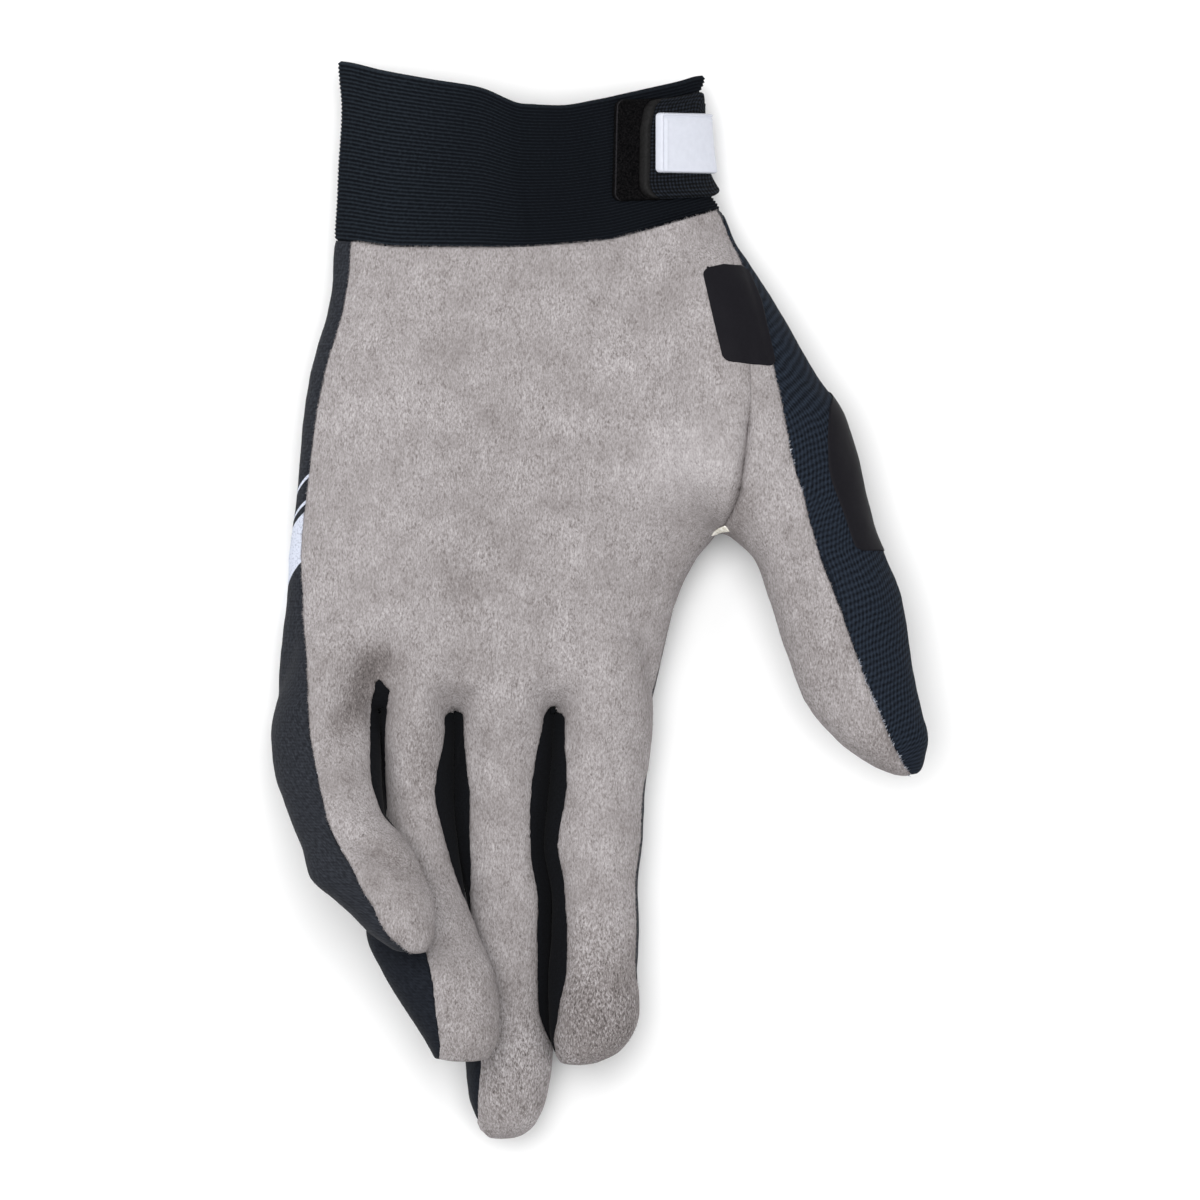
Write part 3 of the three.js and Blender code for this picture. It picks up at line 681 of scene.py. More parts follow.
FACING_UP = (0.0, 0.5)
SEAM_DEPTH = 0.25
SEAM_REACH = 1.0
SIDE_SEAM_DEPTH = 0.3
SKIN_WAVES = [(0.30, 11.0, 1), (0.12, 4.5, 2), (0.05, 2.0, 3)]
FLOOR_EASE = 0.6
normals = point_normals(bent, faces)
palm_side = rise(normals[:, 2], *FACING_UP)
relief = swell_height(bent[:, 0], bent[:, 1], SWELLS) - crease_depth(bent[:, 0], bent[:, 1], CREASES)
pulled = SEAM_DEPTH * np.exp(-(suede / SEAM_REACH) ** 2)
pulled += SIDE_SEAM_DEPTH * np.exp(-(side / SEAM_REACH) ** 2) * (suede < 0)
pulled += SEAM_DEPTH * np.exp(-(wrist / SEAM_REACH) ** 2)
pulled += SIDE_SEAM_DEPTH * np.exp(-(thumb_side / SEAM_REACH) ** 2) * (suede < 0)
wave = ripples(bent, SKIN_WAVES)
bent[:, 2] += relief * palm_side
bent += normals * (wave - pulled)[:, None]
# What would sink through the floor is eased up to it.
low = bent[:, 2]
bent[:, 2] = np.where(low < FLOOR_EASE, FLOOR_EASE * np.exp(np.minimum(low / FLOOR_EASE - 1, 0)), low)

# The suede is left raw, so its edge wanders a little.
RAW_EDGE = [(0.22, 1.3, 8)]
suede += ripples(bent, RAW_EDGE)
skin = np.column_stack([bent, suede, side, thumb_side, wrist, arc, thumb_arc, y, slit_number])
X, Y, Z, SUEDE, SIDE, THUMB_LINE, WRIST, ACROSS, THUMB_ACROSS, ALONG, SLIT = range(skin.shape[1])
skin_tree = BVHTree.FromPolygons(bent.tolist(), faces.tolist())


def split(data, faces, column):
    """Cuts triangles along the zero line of a column. Gives the points, both sides' faces
    and the edges of the cut."""
    least = 0.1
    positive = data[faces, column] > 0
    count = positive.sum(axis=1)
    crossing = (count == 1) | (count == 2)
    cut = faces[crossing]
    lone_positive = count[crossing] == 1
    lone = np.where(lone_positive, positive[crossing].argmax(axis=1), positive[crossing].argmin(axis=1))
    rows = np.arange(len(cut))
    a = cut[rows, lone]
    b = cut[rows, (lone + 1) % 3]
    c = cut[rows, (lone + 2) % 3]
    edges = np.sort(np.concatenate([np.column_stack([a, b]), np.column_stack([a, c])]), axis=1)
    unique, place = np.unique(edges, axis=0, return_inverse=True)
    place = place.reshape(-1)
    start = data[unique[:, 0], column]
    end = data[unique[:, 1], column]
    share = np.clip(start / (start - end), least, 1 - least)[:, None]
    made = data[unique[:, 0]] * (1 - share) + data[unique[:, 1]] * share
    ab = len(data) + place[:len(cut)]
    ac = len(data) + place[len(cut):]
    tips = np.column_stack([a, ab, ac])
    rest = np.concatenate([np.column_stack([ab, b, c]), np.column_stack([ab, c, ac])])
    rest_lone = np.concatenate([lone_positive, lone_positive])
    above = np.concatenate([faces[count == 3], tips[lone_positive], rest[~rest_lone]])
    below = np.concatenate([faces[count == 0], tips[~lone_positive], rest[rest_lone]])
    return np.concatenate([data, made]), above, below, np.column_stack([ab, ac])


skin, cut_off, faces, wrist_edges = split(skin, faces, WRIST)
skin, suede_faces, cloth_faces, suede_edges = split(skin, faces, SUEDE)
skin, thumb_suede_faces, palm_faces = split(skin, suede_faces, THUMB_LINE)[:3]
skin, thumb_cloth_faces, hand_cloth_faces = split(skin, cloth_faces, THUMB_LINE)[:3]
skin, side_faces, back_faces = split(skin, hand_cloth_faces, SIDE)[:3]
kept_faces = np.concatenate([
    thumb_suede_faces, palm_faces, thumb_cloth_faces, side_faces, back_faces,
])
skin_normals = point_normals(skin[:, :3], kept_faces)

# Where the thumb's suede meets the palm's, both edges turn in and leave a sharp groove.
GROOVE = 1.2
GROOVE_REACH = 0.8
GROOVE_FADE = (46, 36)
GROOVE_FACING = (0.0, 0.4)
ON_SUEDE = -0.01
groove_depth = GROOVE * np.exp(-(skin[:, THUMB_LINE] / GROOVE_REACH) ** 2)
groove_depth *= rise(skin[:, Y], *GROOVE_FADE) * (skin[:, SUEDE] > ON_SUEDE)
skin[:, Z] -= groove_depth * rise(skin_normals[:, Z], *GROOVE_FACING)

# The cut edge of each panel is rounded over a little, and nothing goes below the floor.
EDGE_ROUND = 0.12
LOWEST = 0.1


def flat_pattern(piece, across, along):
    """Stores the piece's own flat pattern, in metres, by the points of its outer side. Those
    of its inner side, where it has one, come after them in the same order."""
    layer = piece.data.uv_layers.new(name="cloth")
    corners = np.empty(len(piece.data.loops), dtype=int)
    piece.data.loops.foreach_get("vertex_index", corners)
    flat = np.column_stack([across, along])
    layer.data.foreach_set("uv", flat[corners % len(flat)].reshape(-1))


def panel(name, faces, thickness, lift=0.0, across=ACROSS):
    """One sewn panel of the skin, with its own wall, riding on the glove."""
    used, place = np.unique(faces, return_inverse=True)
    outer = place.reshape(-1, 3)
    count = len(used)
    sides = np.concatenate([outer[:, [0, 1]], outer[:, [1, 2]], outer[:, [2, 0]]])
    lone = ~np.isin(sides[:, 0] * count + sides[:, 1], sides[:, 1] * count + sides[:, 0])
    start, end = sides[lone].T
    edge = np.zeros(count)
    edge[start] = EDGE_ROUND
    top = skin[used, :3] + skin_normals[used] * (lift - edge)[:, None]
    under = skin[used, :3] + skin_normals[used] * (lift - thickness)
    under[:, 2] = np.maximum(under[:, 2], LOWEST)
    rim = np.column_stack([end, start, start + count, end + count])
    walls = [*outer.tolist(), *(outer[:, ::-1] + count).tolist(), *rim.tolist()]
    made = new_object(name, np.concatenate([top, under]) * MM, walls)
    flat_pattern(made, skin[used, across] * MM, skin[used, ALONG] * MM)
    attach(made, "root")
    return made


def colour(code):
    """The linear colour of an sRGB hex code."""
    values = [int(code[i:i + 2], 16) / 255 for i in (1, 3, 5)]
    linear = [v / 12.92 if v <= 0.04045 else ((v + 0.055) / 1.055) ** 2.4 for v in values]
    return (*linear, 1.0)


def new_material(name):
    made = bpy.data.materials.new(name)
    made.use_nodes = True
    made.node_tree.nodes.clear()
    return made.node_tree


def node(tree, kind, inputs=None, tones=(), **settings):
    """Adds a node with its settings. An input is a value, another node or one of a node's
    outputs, and tones are a ramp's places and colours."""
    made = tree.nodes.new(kind)
    for name, value in settings.items():
        setattr(made, name, value)
    for place, value in (inputs or {}).items():
        if isinstance(value, bpy.types.Node):
            value = value.outputs[0]
        if isinstance(value, bpy.types.NodeSocket):
            tree.links.new(value, made.inputs[place])
        else:
            made.inputs[place].default_value = value
    for number, (position, code) in enumerate(tones):
        stops = made.color_ramp.elements
        stop = stops[number] if number < len(stops) else stops.new(position)
        stop.position = position
        stop.color = colour(code)
    return made


def surface(tree, base, height, strength, depth, look):
    """Ends a material with its base colour, a relief from a height, and its look."""
    bump = node(tree, "ShaderNodeBump", {"Height": height, "Strength": strength, "Distance": depth})
    shader = node(tree, "ShaderNodeBsdfPrincipled", {"Base Color": base, "Normal": bump, **look})
    node(tree, "ShaderNodeOutputMaterial", {"Surface": shader})


def wear(piece, material):
    """Gives a piece a material by its name."""
    piece.data.materials.append(bpy.data.materials[material])


# Palm
# Microfibre suede, napped and left raw at its edges, cut in one piece for the palm and the
# fronts of four fingers, and sewn to the cloth with its edge turned out.
SUEDE_THICK = 1.1
SUEDE_LIFT = 0.3
FINGER_NAMES = ["pinky", "ring", "middle", "index"]
palm = panel("palm", palm_faces, SUEDE_THICK, SUEDE_LIFT)
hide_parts("palm_panel", *[name + "_front" for name in FINGER_NAMES])

# Where the suede's colour is paler or darker: rubbed nap, painted shade in the hollows and creases, and
# painted highlights on the thumb's swellings: place, reach across and along, turn, tone
RUBBED_AND_SHADED = np.array([
    [20, 31, 12, 9, 20, 0.08],
    [-54, -22, 3.5, 9, -25, -0.14],
    [-51, -14, 6, 4.5, 0, -0.09],
    [-52, 30, 10, 30, 0, 0.015],
    [2, -92, 14, 14, 0, -0.1],
    [-20, -112, 14, 12, 0, -0.015],
    [-31, -94, 9, 12, 0, -0.04],
    [-42, -72, 6, 8, 0, -0.02],
    [-29, 3, 5, 7, 20, -0.03],
    [65, -32, 10, 9, 0, -0.07],
    [50, -6, 8, 12, 0, -0.005],
    [31, 18, 3, 9, -10, -0.06],
    [-20, 30, 14, 22, 0, -0.01],
    [-46, -57, 9, 3, -33, -0.06],
    [-39, -38, 3.5, 8, 0, -0.05],
    [56, 2, 12, 16, 0, -0.005],
    [-38, -36, 5, 9, 0, -0.03],
    [44, -2, 5, 8, 0, -0.015],
    [55, -25, 6, 9, -30, 0.035],
    [-14, -117, 8, 4, 0, 0.03],
])
# Where wear has broken the nap into tufts, in the same columns, by how much more it shows
WORN = np.array([
    [2, -94, 15, 20, 0, 0.75],
    [-20, -110, 13, 14, 0, 0.6],
    [52, -20, 10, 16, -30, 0.4],
])


def rubbed_and_shaded_tone(piece):
    """Stores the piece's paler and darker places (rubbed nap, painted shade and painted highlights) and its
    worn places on its own points.
    """
    place = np.empty(len(piece.data.vertices) * 3)
    piece.data.vertices.foreach_get("co", place)
    place = place.reshape(-1, 3) / MM
    for name, table in (("rubbed_and_shaded", RUBBED_AND_SHADED), ("worn", WORN)):
        stored = piece.data.attributes.new(name, "FLOAT", "POINT")
        stored.data.foreach_set("value", swell_height(place[:, 0], place[:, 1], table))


rubbed_and_shaded_tone(palm)

# Suede scatters light in a nap of short fibres: grey, very rough, with a soft sheen where
# it turns away, and clumps of nap that lie in different directions.
GREY_SUEDE = "grey microfibre suede"
suede_tree = new_material(GREY_SUEDE)
place = node(suede_tree, "ShaderNodeTexCoord").outputs["Object"]
NAP_SIZE = 0.36 * MM
CLUMP_SIZE = 2.0 * MM
PATCH_SIZE = 12.0 * MM
NAP_ANGLE = 14
NAP_ANGLE_ASIDE = -58
drawn = []
nap = []
for angle in (NAP_ANGLE, NAP_ANGLE_ASIDE):
    drawn.append(node(suede_tree, "ShaderNodeMapping", {
        "Vector": place, "Rotation": (0, 0, math.radians(angle)), "Scale": (1.0, 0.45, 1.0)}))
    nap.append(node(suede_tree, "ShaderNodeTexNoise", {
        "Vector": drawn[-1], "Scale": 1 / NAP_SIZE, "Detail": 2.0, "Roughness": 0.6,
        "Distortion": 0.5,
    }))
clump = node(suede_tree, "ShaderNodeTexNoise", {
    "Vector": drawn[0], "Scale": 1 / CLUMP_SIZE, "Detail": 3.0, "Roughness": 0.6})
patch = node(suede_tree, "ShaderNodeTexNoise", {
    "Vector": place, "Scale": 1 / PATCH_SIZE, "Detail": 2.0, "Roughness": 0.5})
rubbed_and_shaded = node(suede_tree, "ShaderNodeAttribute", attribute_name="rubbed_and_shaded").outputs["Fac"]
worn = node(suede_tree, "ShaderNodeAttribute", attribute_name="worn").outputs["Fac"]
# The nap stands out more in some patches than in others.
standing = node(suede_tree, "ShaderNodeMapRange", {
    "Value": patch, "From Min": 0.3, "From Max": 0.7, "To Min": 0.35, "To Max": 0.68})
# Here and there the fibres lie aslant instead of along the hand.
turned_over = node(suede_tree, "ShaderNodeMapRange", {
    "Value": clump, "From Min": 0.45, "From Max": 0.55})
nap_mixed = node(suede_tree, "ShaderNodeMix", {0: turned_over, 2: nap[0], 3: nap[1]})
nap_even = node(suede_tree, "ShaderNodeMath", {0: nap_mixed, 1: 0.5}, operation="SUBTRACT")
tufted = node(suede_tree, "ShaderNodeMath", {
    0: nap_even, 1: worn, 2: nap_even}, operation="MULTIPLY_ADD")
nap_share = node(suede_tree, "ShaderNodeMath", {0: tufted, 1: standing}, operation="MULTIPLY")
clump_share = node(suede_tree, "ShaderNodeMath", {
    0: clump, 1: 0.14, 2: nap_share}, operation="MULTIPLY_ADD")
patched = node(suede_tree, "ShaderNodeMath", {
    0: patch, 1: 0.15, 2: clump_share}, operation="MULTIPLY_ADD")
lifted = node(suede_tree, "ShaderNodeMath", {0: patched, 1: 0.077}, operation="ADD")
# The rubbed-and-shaded tone adds painted shade in the hollows and creases and painted highlights on the
# thumb's swellings.
shade = node(suede_tree, "ShaderNodeMath", {0: lifted, 1: rubbed_and_shaded}, operation="ADD")
tone = node(suede_tree, "ShaderNodeValToRGB", {"Fac": shade}, [
    (0.0, "#4e4948"), (0.13, "#7a7473"), (0.22, "#959090"), (0.31, "#aaa5a6"), (0.44, "#c6c1c2"),
])
surface(suede_tree, tone, clump_share, 0.55, 0.35 * MM, {
    "Roughness": 0.95, "Specular IOR Level": 0.1,
    "Sheen Weight": 0.08, "Sheen Roughness": 0.6, "Sheen Tint": colour("#c9c0bf"),
})
wear(palm, GREY_SUEDE)

# Front of the thumb
# A piece of the same suede, set into the palm by a curved seam that ends in the crotch.
thumb_front = panel("thumb_front", thumb_suede_faces, SUEDE_THICK, SUEDE_LIFT)
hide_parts("thumb_palm")
rubbed_and_shaded_tone(thumb_front)
wear(thumb_front, GREY_SUEDE)

# Back of the hand
# Polyester stretch cloth, black, woven in a fine basket of raised blocks, in one piece
# from the wrist to the backs of the fingers.
CLOTH_THICK = 1.1
back = panel("back_of_hand", back_faces, CLOTH_THICK)
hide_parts("back_panel", *[name + "_back" for name in FINGER_NAMES])

# Dyed polyester yarn: near-black blue and matt, with each raised block coloured lighter as a painted
# highlight.
BLOCK = 0.95 * MM


def woven_tree(name, base, raised, block, depth, relief):
    """A cloth of small raised diamonds on the panel's own flat pattern."""
    tree = new_material(name)
    flat = node(tree, "ShaderNodeUVMap", uv_map="cloth")
    turned = node(tree, "ShaderNodeMapping", {
        "Vector": flat, "Rotation": (0, 0, math.radians(45)), "Scale": (1 / block, 1 / block, 1.0)})
    axes = node(tree, "ShaderNodeSeparateXYZ", {"Vector": turned})
    waves = []
    for axis in axes.outputs[:2]:
        angle = node(tree, "ShaderNodeMath", {0: axis, 1: 2 * math.pi}, operation="MULTIPLY")
        waves.append(node(tree, "ShaderNodeMath", {0: angle}, operation="SINE"))
    checks = node(tree, "ShaderNodeMath", {0: waves[0], 1: waves[1]}, operation="MULTIPLY")
    fine = node(tree, "ShaderNodeTexNoise", {"Vector": turned, "Scale": 1.3, "Detail": 3.0})
    height = node(tree, "ShaderNodeMath", {
        0: checks, 1: relief, 2: fine}, operation="MULTIPLY_ADD")
    # Raised places are coloured lighter and low places darker: painted highlight and painted shade.
    tone = node(tree, "ShaderNodeValToRGB", {"Fac": height}, [(0.35, base), (0.95, raised)])
    surface(tree, tone, height, 0.7, depth, {
        "Roughness": 0.85, "Specular IOR Level": 0.1,
        "Sheen Weight": 0.02, "Sheen Roughness": 0.5,
    })
    return tree


BASKET = "black basket weave"
basket_tree = woven_tree(BASKET, "#1d1f24", "#3c3f46", BLOCK, 0.2 * MM, 0.09)

# A pale block and two thin stripes are printed aslant on the little finger's side, given
# here by their middle and half width along the slant, in mm, and by their reach across.
PRINT_BANDS = [(27.4, 0.45), (21.2, 0.5), (11.6, 7.0)]
PRINT_MIDDLE = -71.0
PRINT_HALF = 10.0
PRINT_SLANT_FROM = 76.0
print_uv = node(basket_tree, "ShaderNodeUVMap", uv_map="cloth")
print_mm = node(basket_tree, "ShaderNodeVectorMath", {
    0: print_uv, "Scale": 1 / MM}, operation="SCALE")
print_x, print_y = node(
    basket_tree, "ShaderNodeSeparateXYZ", {"Vector": print_mm}).outputs[:2]
slant = node(basket_tree, "ShaderNodeMath", {0: print_x, 1: print_y}, operation="ADD")
slanting = node(basket_tree, "ShaderNodeMath", {
    0: slant, 1: PRINT_SLANT_FROM}, operation="ADD")
printed = 0.0
for band_middle, band_half in PRINT_BANDS:
    band = node(basket_tree, "ShaderNodeMath", {
        0: slanting, 1: band_middle, 2: band_half}, operation="COMPARE")
    printed = node(basket_tree, "ShaderNodeMath", {0: band, 1: printed}, operation="ADD")
print_reach = node(basket_tree, "ShaderNodeMath", {
    0: print_x, 1: PRINT_MIDDLE, 2: PRINT_HALF}, operation="COMPARE")
print_mask = node(basket_tree, "ShaderNodeMath", {
    0: printed, 1: print_reach}, operation="MULTIPLY")
# Screen ink sits on the yarn and lets a little of the black through.
ink_grain = node(basket_tree, "ShaderNodeTexNoise", {
    "Vector": print_uv, "Scale": 1 / (0.5 * MM), "Detail": 2.0})
ink_tone = node(basket_tree, "ShaderNodeValToRGB", {"Fac": ink_grain}, [
    (0.2, "#8a90a3"), (0.5, "#ccd1df")])
MIX_A, MIX_B, MIX_RESULT = 6, 7, 2
inked = node(basket_tree, "ShaderNodeMix", {
    0: print_mask, MIX_A: basket_tree.nodes["Color Ramp"], MIX_B: ink_tone}, data_type="RGBA")
basket_tree.links.new(
    inked.outputs[MIX_RESULT], basket_tree.nodes["Principled BSDF"].inputs["Base Color"])
wear(back, BASKET)

# Sides between the fingers
# Narrow strips of fine black knit that join the suede fronts to the cloth backs.
SIDE_NAMES = ["pinky_ring", "ring_middle", "middle_index"]
SHADED_KNIT = "fine black knit"
STRETCHED = "stretched black knit"
# The darker knit is painted shade for the deep cuts between the fingers.
woven_tree(SHADED_KNIT, "#090a0d", "#16181d", 0.7 * MM, 0.12 * MM, 0.12)
woven_tree(STRETCHED, "#12151b", "#272b33", BLOCK, 0.2 * MM, 0.09)
# Inside the cuts between the fingers the knit is coloured darker, as painted shade; past the end of the
# shorter finger each knit lies open, stretched to larger blocks, and shows paler.
OPEN_FROM = [-68, -101, -130]
side_slit = np.round(skin[side_faces, SLIT].mean(axis=1)).astype(int)
for number, name in enumerate(SIDE_NAMES):
    strip = panel("side_" + name, side_faces[side_slit == number], CLOTH_THICK)
    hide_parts("fourchette_" + name)
    wear(strip, SHADED_KNIT)
    strip.data.materials.append(bpy.data.materials[STRETCHED])
    for face in strip.data.polygons:
        face.material_index = int(face.center.y < OPEN_FROM[number] * MM)

# Back of the thumb
# Polyester mesh, knitted in slanting rows of short upright bars.
thumb_back = panel("thumb_back_cloth", thumb_cloth_faces, CLOTH_THICK, 0.0, THUMB_ACROSS)
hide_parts("thumb_back")

# Dyed polyester yarn: blue-black and matt, with the bars coloured lighter as a painted highlight.
BAR_SPACING = 0.9 * MM
ROW_SPACING = 1.5 * MM
ROW_SLANT = 0.45
MESH = "black air mesh"
mesh_tree = new_material(MESH)
mesh_uv = node(mesh_tree, "ShaderNodeUVMap", uv_map="cloth")
wander = node(mesh_tree, "ShaderNodeTexNoise", {
    "Vector": mesh_uv, "Scale": 1 / (9.0 * MM), "Detail": 1.0}).outputs["Color"]
wander_even = node(mesh_tree, "ShaderNodeVectorMath", {
    0: wander, 1: (0.5, 0.5, 0.5)}, operation="SUBTRACT")
wander_size = node(mesh_tree, "ShaderNodeVectorMath", {
    0: wander_even, "Scale": 2.0 * MM}, operation="SCALE")
wandering = node(mesh_tree, "ShaderNodeVectorMath", {0: mesh_uv, 1: wander_size}, operation="ADD")
mesh_x, mesh_y = node(mesh_tree, "ShaderNodeSeparateXYZ", {"Vector": wandering}).outputs[:2]
slanted = node(mesh_tree, "ShaderNodeMath", {
    0: mesh_x, 1: ROW_SLANT, 2: mesh_y}, operation="MULTIPLY_ADD")
mesh_share = 0.4
for place, spacing in ((slanted, ROW_SPACING), (mesh_x, BAR_SPACING)):
    turn = node(mesh_tree, "ShaderNodeMath", {
        0: place, 1: 2 * math.pi / spacing}, operation="MULTIPLY")
    ridge = node(mesh_tree, "ShaderNodeMath", {0: turn}, operation="SINE")
    mesh_share = node(mesh_tree, "ShaderNodeMath", {
        0: ridge, 1: 0.1, 2: mesh_share}, operation="MULTIPLY_ADD")
yarn = node(mesh_tree, "ShaderNodeTexNoise", {
    "Vector": mesh_uv, "Scale": 1 / (0.6 * MM), "Detail": 2.0})
mesh_height = node(mesh_tree, "ShaderNodeMath", {
    0: yarn, 1: 0.45, 2: mesh_share}, operation="MULTIPLY_ADD")
# Higher places of the mesh are coloured lighter, as painted highlight.
mesh_tone = node(mesh_tree, "ShaderNodeValToRGB", {"Fac": mesh_height}, [
    (0.42, "#080b11"), (0.9, "#2a323e")])
surface(mesh_tree, mesh_tone, mesh_height, 0.7, 0.3 * MM, {
    "Roughness": 0.85, "Specular IOR Level": 0.08})
wear(thumb_back, MESH)

# Raw edges
# The suede's cut edge sheds a fringe of fine fibres over the cloth, and ends of the pale
# sewing thread stand out of the seams along the thumb and the little finger.


def middles(faces):
    """The mean middle of the faces round each point of the skin."""
    centre = skin[faces, :3].mean(axis=1)
    total = np.zeros((len(skin), 3))
    number = np.zeros(len(skin))
    for corner in range(3):
        np.add.at(total, faces[:, corner], centre)
        np.add.at(number, faces[:, corner], 1)
    return total / np.maximum(number, 1)[:, None]


def unit(vectors):
    return vectors / np.maximum(np.linalg.norm(vectors, axis=1, keepdims=True), 1e-9)


# Each spike's foot lies back from the edge, and the spike points mostly outwards.
SPIKE_BACK = 0.1
SPIKE_OUT = 0.9
SPIKE_UP = 0.35
SPIKE_SPREAD = 0.4


def fringe(name, edges, outwards, per_mm, lengths, thick, seed):
    """Fine spikes that stand out of a cut edge, each a slim three-sided point."""
    draw = np.random.default_rng(seed)
    start = skin[edges[:, 0], :3]
    run = skin[edges[:, 1], :3] - start
    count = draw.poisson(np.linalg.norm(run, axis=1) * per_mm)
    owner = np.repeat(np.arange(len(edges)), count)
    up = skin_normals[edges[owner, 0]]
    out = outwards[edges[owner, 0]]
    foot = start[owner] + run[owner] * draw.random(len(owner))[:, None]
    foot += up * (SUEDE_LIFT - thick) - out * SPIKE_BACK
    aside = draw.normal(0, SPIKE_SPREAD, (len(owner), 3))
    way = unit(out * SPIKE_OUT + up * SPIKE_UP + aside)
    across = unit(np.cross(way, up))
    third = np.cross(way, across)
    tip = foot + way * draw.uniform(*lengths, len(owner))[:, None]
    corners = [
        foot + thick * (math.cos(turn) * across + math.sin(turn) * third)
        for turn in (0, 2 * math.pi / 3, 4 * math.pi / 3)
    ]
    spikes = np.stack([*corners, tip], axis=1).reshape(-1, 3)
    spikes[:, 2] = np.maximum(spikes[:, 2], LOWEST)
    first = np.arange(len(owner))[:, None] * 4
    sides = [[0, 2, 1], [0, 1, 3], [1, 2, 3], [2, 0, 3]]
    faces = np.concatenate([first + side_corners for side_corners in sides])
    made = new_object(name, spikes * MM, faces, smooth=False)
    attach(made, "root")
    return made


suede_middles = middles(np.concatenate([palm_faces, thumb_suede_faces]))
cloth_middles = middles(np.concatenate([side_faces, back_faces, thumb_cloth_faces]))
cloth_corners = np.unique(np.concatenate([back_faces, thumb_cloth_faces]))
to_cloth = unit(cloth_middles - suede_middles)
to_cuff = unit(middles(cut_off) - suede_middles)
both_sides = np.isin(suede_edges, cloth_corners).all(axis=1)
outer_edges = suede_edges[both_sides & (skin[suede_edges, SIDE] < 0).all(axis=1)]
seam_x = skin[outer_edges[:, 0], X]
seam_y = skin[outer_edges[:, 0], Y]
wrist_suede = wrist_edges[(skin[wrist_edges, SUEDE] > 0).all(axis=1)]
nap_edge = fringe(
    "suede_edge_nap", outer_edges, to_cloth, per_mm=8.0, lengths=(0.25, 0.65), thick=0.035, seed=11)
cuff_nap = fringe(
    "suede_cuff_nap", wrist_suede, to_cuff, per_mm=10.0, lengths=(0.3, 0.8), thick=0.035, seed=12)
for fuzz in (nap_edge, cuff_nap):
    rubbed_and_shaded_tone(fuzz)
    wear(fuzz, GREY_SUEDE)
# The thread shows right of a line by Y and X on the thumb, and past a corner on the finger.
THUMB_THREAD_LINE = np.array([[-40, 66], [36, 41]])
PINKY_THREAD_CORNER = (-42, -30)
thumb_ends = (seam_x > THUMB_THREAD_LINE[1, 1]) & (seam_y < THUMB_THREAD_LINE[1, 0])
thumb_ends &= seam_x > np.interp(seam_y, THUMB_THREAD_LINE[:, 0], THUMB_THREAD_LINE[:, 1])
pinky_ends = (seam_x < PINKY_THREAD_CORNER[0]) & (seam_y < PINKY_THREAD_CORNER[1])
thumb_thread = fringe(
    "thumb_thread_ends", outer_edges[thumb_ends], to_cloth,
    per_mm=2.6, lengths=(0.4, 1.0), thick=0.09, seed=13)
pinky_thread = fringe(
    "pinky_thread_ends", outer_edges[pinky_ends], to_cloth,
    per_mm=0.5, lengths=(0.3, 0.6), thick=0.06, seed=14)


def new_thread(name, dark, light):
    """Bonded polyester sewing thread with a faint sheen."""
    tree = new_material(name)
    place = node(tree, "ShaderNodeTexCoord").outputs["Object"]
    grain = node(tree, "ShaderNodeTexNoise", {
        "Vector": place, "Scale": 1 / (0.8 * MM), "Detail": 2.0})
    tone = node(tree, "ShaderNodeValToRGB", {"Fac": grain}, [(0.35, dark), (0.65, light)])
    shader = node(tree, "ShaderNodeBsdfPrincipled", {
        "Base Color": tone, "Roughness": 0.7, "Sheen Weight": 0.2})
    node(tree, "ShaderNodeOutputMaterial", {"Surface": shader})


# Bonded polyester thread: pale blue-grey.
PALE_THREAD = "pale sewing thread"
new_thread(PALE_THREAD, "#7d8494", "#dfe4ee")
for ends in (thumb_thread, pinky_thread):
    wear(ends, PALE_THREAD)

# Crotch stitches
# Close stitches of cream thread lock the corner of the suede where the thumb's seam ends.
TACK_FROM = (25.5, 14.9)
TACK_TO = (28.4, 16.1)
TACK_STITCHES = 14
STITCH_HALF = 0.95
STITCH_THICK = 0.24
STITCH_RINGS = 9
STITCH_SIDES = 8
# How far each stitch closes to a point at its ends, as a share of its thickness squared.
STITCH_CLOSED = 0.98
ABOVE_ALL = 60.0


def on_skin(x, y):
    """The point of the skin straight below a place."""
    return skin_tree.ray_cast(Vector((x, y, ABOVE_ALL)), Vector((0, 0, -1)))[0]


def face_outwards(piece):
    """Turns every face of a closed piece outwards."""
    make_active(piece)
    bpy.ops.object.mode_set(mode="EDIT")
    bpy.ops.mesh.select_all(action="SELECT")
    bpy.ops.mesh.normals_make_consistent(inside=False)
    bpy.ops.object.mode_set(mode="OBJECT")


